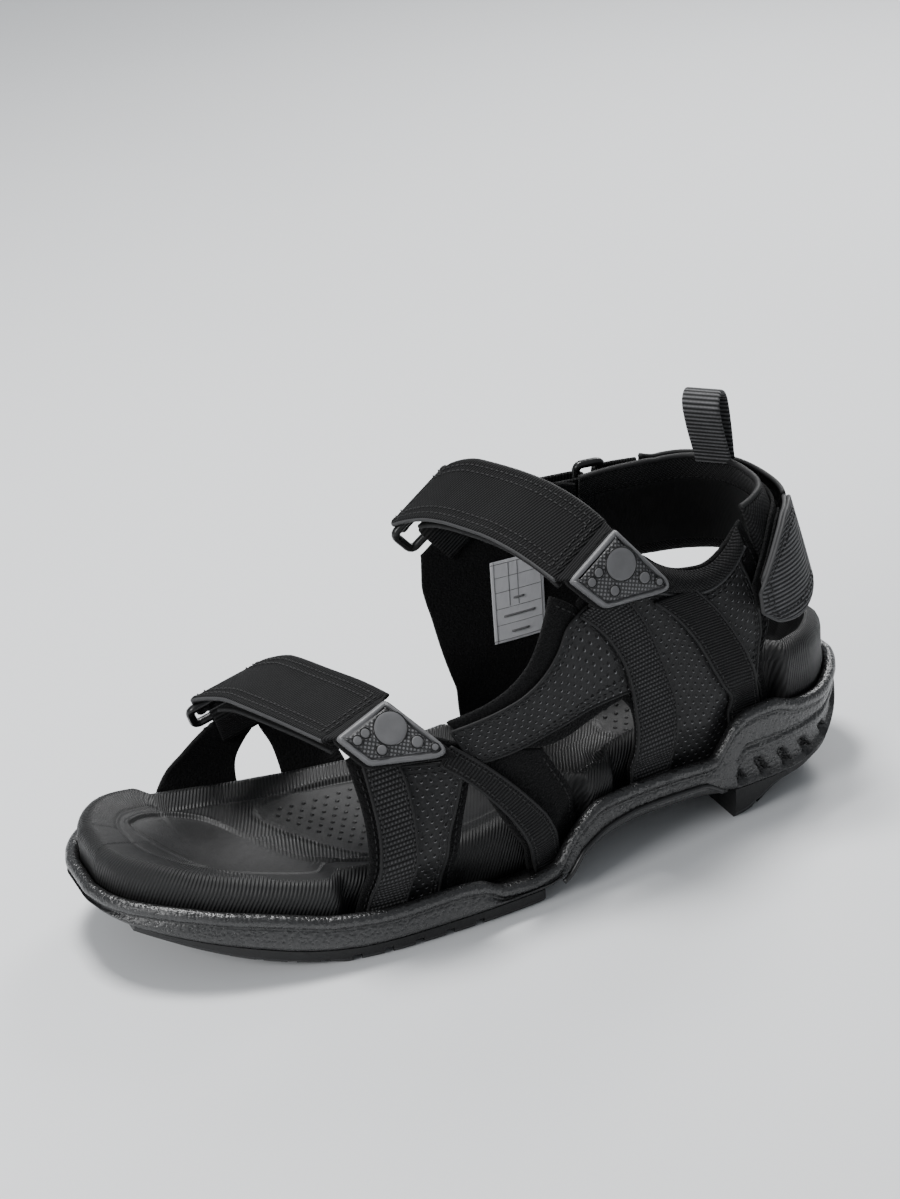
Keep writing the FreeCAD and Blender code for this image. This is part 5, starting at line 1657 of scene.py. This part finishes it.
def seam_rows(name, body, surface, thick, edges, insets, material=None, trim=2.0, slot="strap_fabric"):
    seams = Mesh()
    for edge in edges:
        for inset in insets:
            p, n = surface.line(edge, inset, thick + 0.05, trim, trim)
            stitches(seams, p, n, 2.2, 1.6, 0.28)
    return seams.build(name, body, material or thread, slot)


def collar_grid(level=0.0, rows=17, cols=46):
    front = -(heel_turn - 64.0)
    top = path([(front, 117), (-10, 118), (40, 118), (90, 118), (140, 119), (166, 118)])
    low = path([(front, 84), (-10, 79), (40, 77), (90, collar_low), (130, collar_low), (151, 79)])
    grid = []
    for s in spread(0, 1, rows):
        row = []
        for t in spread(0, 1, cols):
            run_low, z_low = low(t)
            run_top, z_top = top(t)
            run = run_low + (run_top - run_low) * s
            row.append(tuple(round_wall(run, z_low + (z_top - z_low) * s, level)))
        grid.append(row)
    return grid


def make_heel_collar():
    """Padded collar: fuller between its seams, with two stitched channels on its inner face."""
    surface = Surface(collar_grid(collar_thick / 2), (heel_turn, 0, 95), 30, 110)
    rows, cols, _ = surface.p.shape
    s = np.linspace(0, 1, rows)[:, None]
    t = np.linspace(0, 1, cols)[None, :]
    across = np.clip(1 - (2 * s - 1) ** 4, 0, 1) ** 0.5
    along = np.clip(np.minimum(t, 1 - t) / 0.025, 0, 1) ** 0.5
    half = collar_thick / 2 * (0.22 + 0.78 * across * along)
    channel = np.exp(-((s - 0.80) / 0.022) ** 2) + np.exp(-((s - 0.13) / 0.022) ** 2)
    inner = half - 0.85 * channel
    mesh = Mesh()
    top = surface.p + surface.n * half[..., None]
    low = surface.p - surface.n * inner[..., None]
    size = rows * cols
    uv = surface.uv
    faces = quads(rows, cols) + quads(rows, cols, size, flip=True)
    ring = [c for c in range(cols)] + [k * cols + cols - 1 for k in range(1, rows)]
    ring += [(rows - 1) * cols + c for c in range(cols - 2, -1, -1)]
    ring += [k * cols for k in range(rows - 2, 0, -1)]
    for j in range(len(ring)):
        k = ring[(j + 1) % len(ring)]
        faces.append([k, ring[j], size + ring[j], size + k])
    p = surface.p
    if np.cross(p[0, 1] - p[0, 0], p[1, 0] - p[0, 0]) @ surface.n[0, 0] < 0:
        faces = [f[::-1] for f in faces]
    mesh.add(np.concatenate([top.reshape(-1, 3), low.reshape(-1, 3)]), faces,
             np.concatenate([uv.reshape(-1, 2), uv.reshape(-1, 2)]))
    piece = mesh.build("heel_collar_pad", "shoe", collar_knit, "lining_fabric", ["heel_collar"])
    seams = Mesh()
    for share in (0.80, 0.13):
        k = int(share * (rows - 1))
        line = surface.p[k, 3:-3] - surface.n[k, 3:-3] * (half[k, 3:-3] - 0.75)[:, None]
        stitches(seams, line, -surface.n[k, 3:-3], 2.6, 1.7, 0.25)
    seams.build("heel_collar_stitching", "shoe", thread, "lining_fabric")
    cord = Mesh()
    tube(cord, surface.p[-1], 1.15)
    cord.build("heel_collar_rim_cord", "shoe", piping, "lining_fabric")
    return surface


def make_heel_panel(surface):
    """Smooth inner panel of the collar."""
    inner = surface.p[4:-6, 3:-3] - surface.n[4:-6, 3:-3] * (collar_thick / 2 - 0.15)
    flipped = Surface(inner[::-1], (200, 0, 95), inner.shape[0], inner.shape[1])
    flipped.n = -surface.n[4:-6, 3:-3][::-1]
    sheet(Mesh(), flipped, 0.0, 0.45).build("heel_inner_panel", "shoe", heel_jersey, "lining_fabric")


def heel_frame():
    x = heel_turn + heel_ring_run
    centre = vec(wall(1, x, heel_ring_z, heel_ring_level))
    above = vec(wall(1, x, heel_ring_z + 5, heel_ring_level))
    below = vec(wall(1, x, heel_ring_z - 5, heel_ring_level))
    bar = unit(above - below)
    ahead = vec(wall(1, x - 5, heel_ring_z, heel_ring_level)) - centre
    ahead = unit(ahead - bar * (ahead @ bar))
    out = np.cross(bar, ahead)
    return centre, bar, ahead, (out if out[1] > 0 else -out)


def make_heel_ring_set():
    centre, bar, ahead, out = heel_frame()
    keeper = centre + ahead * ring_height
    make_ring("heel_ring", "shoe", centre, keeper, bar, heel_ring_width)
    near = ring_bar_radius + ring_clear
    profile = band_profile((heel_ring_width - 2) / 2, keeper_thick, 14)
    rows = []
    for a in spread(0, 180, 14):
        ray = out * math.cos(math.radians(a)) - ahead * math.sin(math.radians(a))
        rows.append([keeper + ray * (near + z) + bar * x for x, z in profile])
    first = [[p + ahead * d for p in rows[0]] for d in spread(keeper_tail, 1.0, 6)]
    last = [[p + ahead * d for p in rows[-1]] for d in spread(1.0, keeper_tail, 6)]
    mesh = sweep(Mesh(), first + rows + last, uv_across=profile[:, 0])
    mesh.build("heel_ring_keeper_band", "shoe", webbing, "webbing", ["heel_ring_keeper"])
    profile = band_profile(heel_ring_width / 2, heel_strap_thick, 16)
    rows = []
    for a in spread(fold_turn, 0, 14):
        ray = out * math.cos(math.radians(a)) + ahead * math.sin(math.radians(a))
        rows.append([centre + ray * (near + z) + bar * x for x, z in profile])
    target = vec(round_wall(heel_ring_run + 14.0, heel_ring_z, heel_strap_level))
    start = centre + out * near
    for d in spread(1.5, 14.0, 8):
        t = ease(d / 14.0)
        place = (start - ahead * d) * (1 - t) + target * t
        rows.append([place + out * z + bar * x for x, z in profile])
    mesh = sweep(Mesh(), rows, uv_across=profile[:, 0])
    mesh.build("heel_strap_fold_band", "shoe", strap_twill, "strap_fabric", ["heel_strap_fold"])


def make_heel_straps():
    base = heel_surface(-6, 172, heel_base_level, 1.0, 21)
    make_heel_band("heel_strap_base", "shoe", base, heel_base_thick, lining_fabric, "strap_fabric")
    strap = heel_surface(-2, heel_split, heel_strap_level)
    make_heel_band("heel_strap", "shoe", strap, heel_strap_thick, strap_twill, "strap_fabric")
    edge_trim("heel_strap_piping", "shoe", strap, heel_strap_thick, ("low", "high"), 0.95, piping)
    seam_rows("heel_strap_stitching", "shoe", strap, heel_strap_thick, ("low", "high"), (2.6, 4.6))
    bend = heel_surface(heel_split - 7, heel_split + 7, heel_strap_level - 0.12, 1.3, 9)
    piece = sheet(Mesh(), bend, 0.0, heel_strap_thick - 0.3).build("heel_strap_bend", None, lining_fabric,
                                                                   "strap_fabric")
    first = round_wall(heel_split - 6, 98, heel_strap_level)
    last = round_wall(heel_split + 6, 98, heel_strap_level)
    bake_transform(piece)
    end = heel_surface(heel_split + 0.4, 170, heel_strap_level, 1.0, 13)
    make_heel_band("heel_strap_end", "heel_flap", end, heel_strap_thick, lining_fabric, "strap_fabric")
    edge_trim("heel_strap_end_piping", "heel_flap", end, heel_strap_thick, ("low", "high", "rear"), 0.95,
              piping_grey)
    tab = heel_surface(122, 174, heel_tab_level - 0.25, 0.0, 15)
    tab.uv[..., 1] = tab.p[..., 2]
    make_heel_band("heel_strap_tab", "heel_flap", tab, heel_tab_thick, tab_webbing, "tab_webbing")
    edge_trim("heel_strap_tab_piping", "heel_flap", tab, heel_tab_thick, ("low", "high", "rear", "front"),
              0.75, piping_grey, "tab_webbing")
    seam_rows("heel_strap_tab_stitching", "heel_flap", tab, heel_tab_thick, ("low", "high", "rear"),
              (2.2, 4.2), thread, 2.5, "tab_webbing")
    loop_pad = heel_surface(126, 168, heel_loop_level, 3.0, 9)
    make_heel_band("heel_loop_pad", "shoe", loop_pad, heel_pad_thick, lining_fabric, "hook_and_loop")
    hook_pad = heel_surface(126, 166, heel_hook_level, 3.5, 9)
    make_heel_band("heel_hook_pad", "heel_flap", hook_pad, heel_pad_thick, hook_pile, "hook_and_loop")


def make_pull_loop():
    """Folded webbing loop that leans forward from the collar's rim."""
    z = 119.5
    base = vec(round_wall(pull_loop_at, z, collar_thick / 2))
    after = vec(round_wall(pull_loop_at + 3, z, collar_thick / 2))
    before = vec(round_wall(pull_loop_at - 3, z, collar_thick / 2))
    along = after - before
    heading = math.atan2(along[1], along[0]) + math.radians(pull_loop_twist)
    along = np.array([math.cos(heading), math.sin(heading), 0])
    out = np.array([-along[1], along[0], 0])
    lean = math.radians(pull_loop_lean)
    rise = np.array([0, 0, 1.0]) * math.cos(lean) - along * math.sin(lean)
    radius = pull_loop_gap / 2
    straight = pull_loop_height - radius - pull_loop_thick
    profile = band_profile(pull_loop_width / 2, pull_loop_thick, 16)
    rows = []

    def open_to(d):
        return radius * (0.25 + 0.75 * math.sin(math.pi / 2 * max(d, 0) / straight))

    for d in spread(-2.5, straight, 16):
        rows.append([base - out * (open_to(d) + v) + rise * d + along * x for x, v in profile])
    for a in spread(172, 8, 16):
        ray = out * math.cos(math.radians(a)) + rise * math.sin(math.radians(a))
        rows.append([base + rise * straight + ray * (radius + v) + along * x for x, v in profile])
    for d in spread(straight, -2.5, 16):
        rows.append([base + out * (open_to(d) + v) + rise * d + along * x for x, v in profile])
    sweep(Mesh(), rows, uv_across=profile[:, 0]).build("pull_loop_band", "heel_pull", tab_webbing, "webbing",
                                                       ["pull_loop"])


# ---------------------------------------------------------------- put the sandal together
make_midsole()
make_arch_edge()
make_footbed()
make_footbed_studs()
for node, value, width in (("outsole_forefoot", outsole_rubber, 0.5), ("outsole_heel", outsole_rubber, 0.6),
                           ("shank_plate", shank_plastic, 0.4)):
    dress_cad(node, value, width)
for panel in panels:
    make_panel(panel)
for panel in panels:
    make_panel_trim(panel)
make_topline()
make_size_label()
front_strap = Strap(
    front=[(-66, -36, 81.6), (-70, -21.6, 79.8), (-77, 0, 78), (-80, 11, 76.8), (-83, 22.5, 75.3),
           (-88, 33, 73)],
    rear=[(-43.5, -34, 88.6), (-46, -22, 88.5), (-52, 2.4, 86.7), (-55, 13, 85.7), (-58, 25, 83.5),
          (-60, 34, 81)],
    keeper_at=(-73, 61.5), ring_turn=17)
ankle_strap = Strap(
    front=[(21, -41, 116), (17, -31, 120), (12, -19, 124), (7, -6, 126), (2, 7, 126), (-3, 20, 124),
           (-8, 31, 121)],
    rear=[(44, -34, 128), (38.5, -22, 135), (32, -8, 139), (26, 5.5, 140), (19, 20, 140), (13, 32, 138)],
    keeper_at=(10.5, 115.5), ring_turn=40)
make_strap("front", front_strap, [(-66, -38, 82), (-45, -33, 88), (-27, -50, 69), (-57, -44, 71.5)])
make_strap("ankle", ankle_strap, [(22, -41, 117), (43, -36, 129), (62, -44, 104), (33, -45, 105)])
collar_surface = make_heel_collar()
make_heel_panel(collar_surface)
make_heel_straps()
make_heel_ring_set()
make_pull_loop()


# ---------------------------------------------------------------- floor, light and camera
def make_stage():
    data = bpy.data.meshes.new("floor")
    size = 4.0
    corners = [(-size, -size, 0), (size, -size, 0), (size, size, 0), (-size, size, 0)]
    data.from_pydata(corners, [], [(0, 1, 2, 3)])
    s = Shader("floor_paper", 0.8, 0.3)
    s.colour(s.noise(300.0), (0.72, 0.73, 0.74), (0.76, 0.77, 0.78))
    data.materials.append(s.material)
    floor = bpy.data.objects.new("floor", data)
    bpy.context.scene.collection.objects.link(floor)
    world = bpy.data.worlds.new("studio")
    world.use_nodes = True
    background = world.node_tree.nodes["Background"]
    background.inputs[0].default_value = (0.86, 0.90, 0.95, 1)
    background.inputs[1].default_value = 0.42
    bpy.context.scene.world = world
    add_light("key", (-0.10, 0.25, 1.15), 0.32, 17.0)
    add_light("rim", (0.85, 0.75, 0.75), 0.45, 10.0)
    add_light("side", (-0.95, -0.35, 0.60), 0.40, 7.0)


def add_light(name, place, size, power):
    data = bpy.data.lights.new(name, "AREA")
    data.size = size
    data.energy = power
    lamp = bpy.data.objects.new(name, data)
    lamp.location = place
    aim = Vector((0, 0, 0.05)) - Vector(place)
    lamp.rotation_euler = aim.to_track_quat("-Z", "Y").to_euler()
    bpy.context.scene.collection.objects.link(lamp)


def make_camera():
    """Low three-quarter view from the outer side, slightly rolled."""
    azimuth, elevation, roll = math.radians(23.31), math.radians(27.15), math.radians(-4.9)
    ahead = Vector((math.sin(azimuth) * math.cos(elevation), math.cos(azimuth) * math.cos(elevation),
                    -math.sin(elevation)))
    level = Vector((math.cos(azimuth), -math.sin(azimuth), 0))
    above = level.cross(ahead)
    right = level * math.cos(roll) + above * math.sin(roll)
    over = above * math.cos(roll) - level * math.sin(roll)
    place = Vector((0, 0, 40)) - ahead * 971.8 - right * 7.5 + over * 52.11
    data = bpy.data.cameras.new("camera")
    data.sensor_width = 36.0
    data.lens = 81.28
    data.clip_start = 0.01
    camera = bpy.data.objects.new("camera", data)
    rotation = Matrix((right, over, -ahead)).transposed().to_4x4()
    camera.matrix_world = Matrix.Translation(place * MM) @ rotation
    bpy.context.scene.collection.objects.link(camera)
    bpy.context.scene.camera = camera


make_stage()
make_camera()
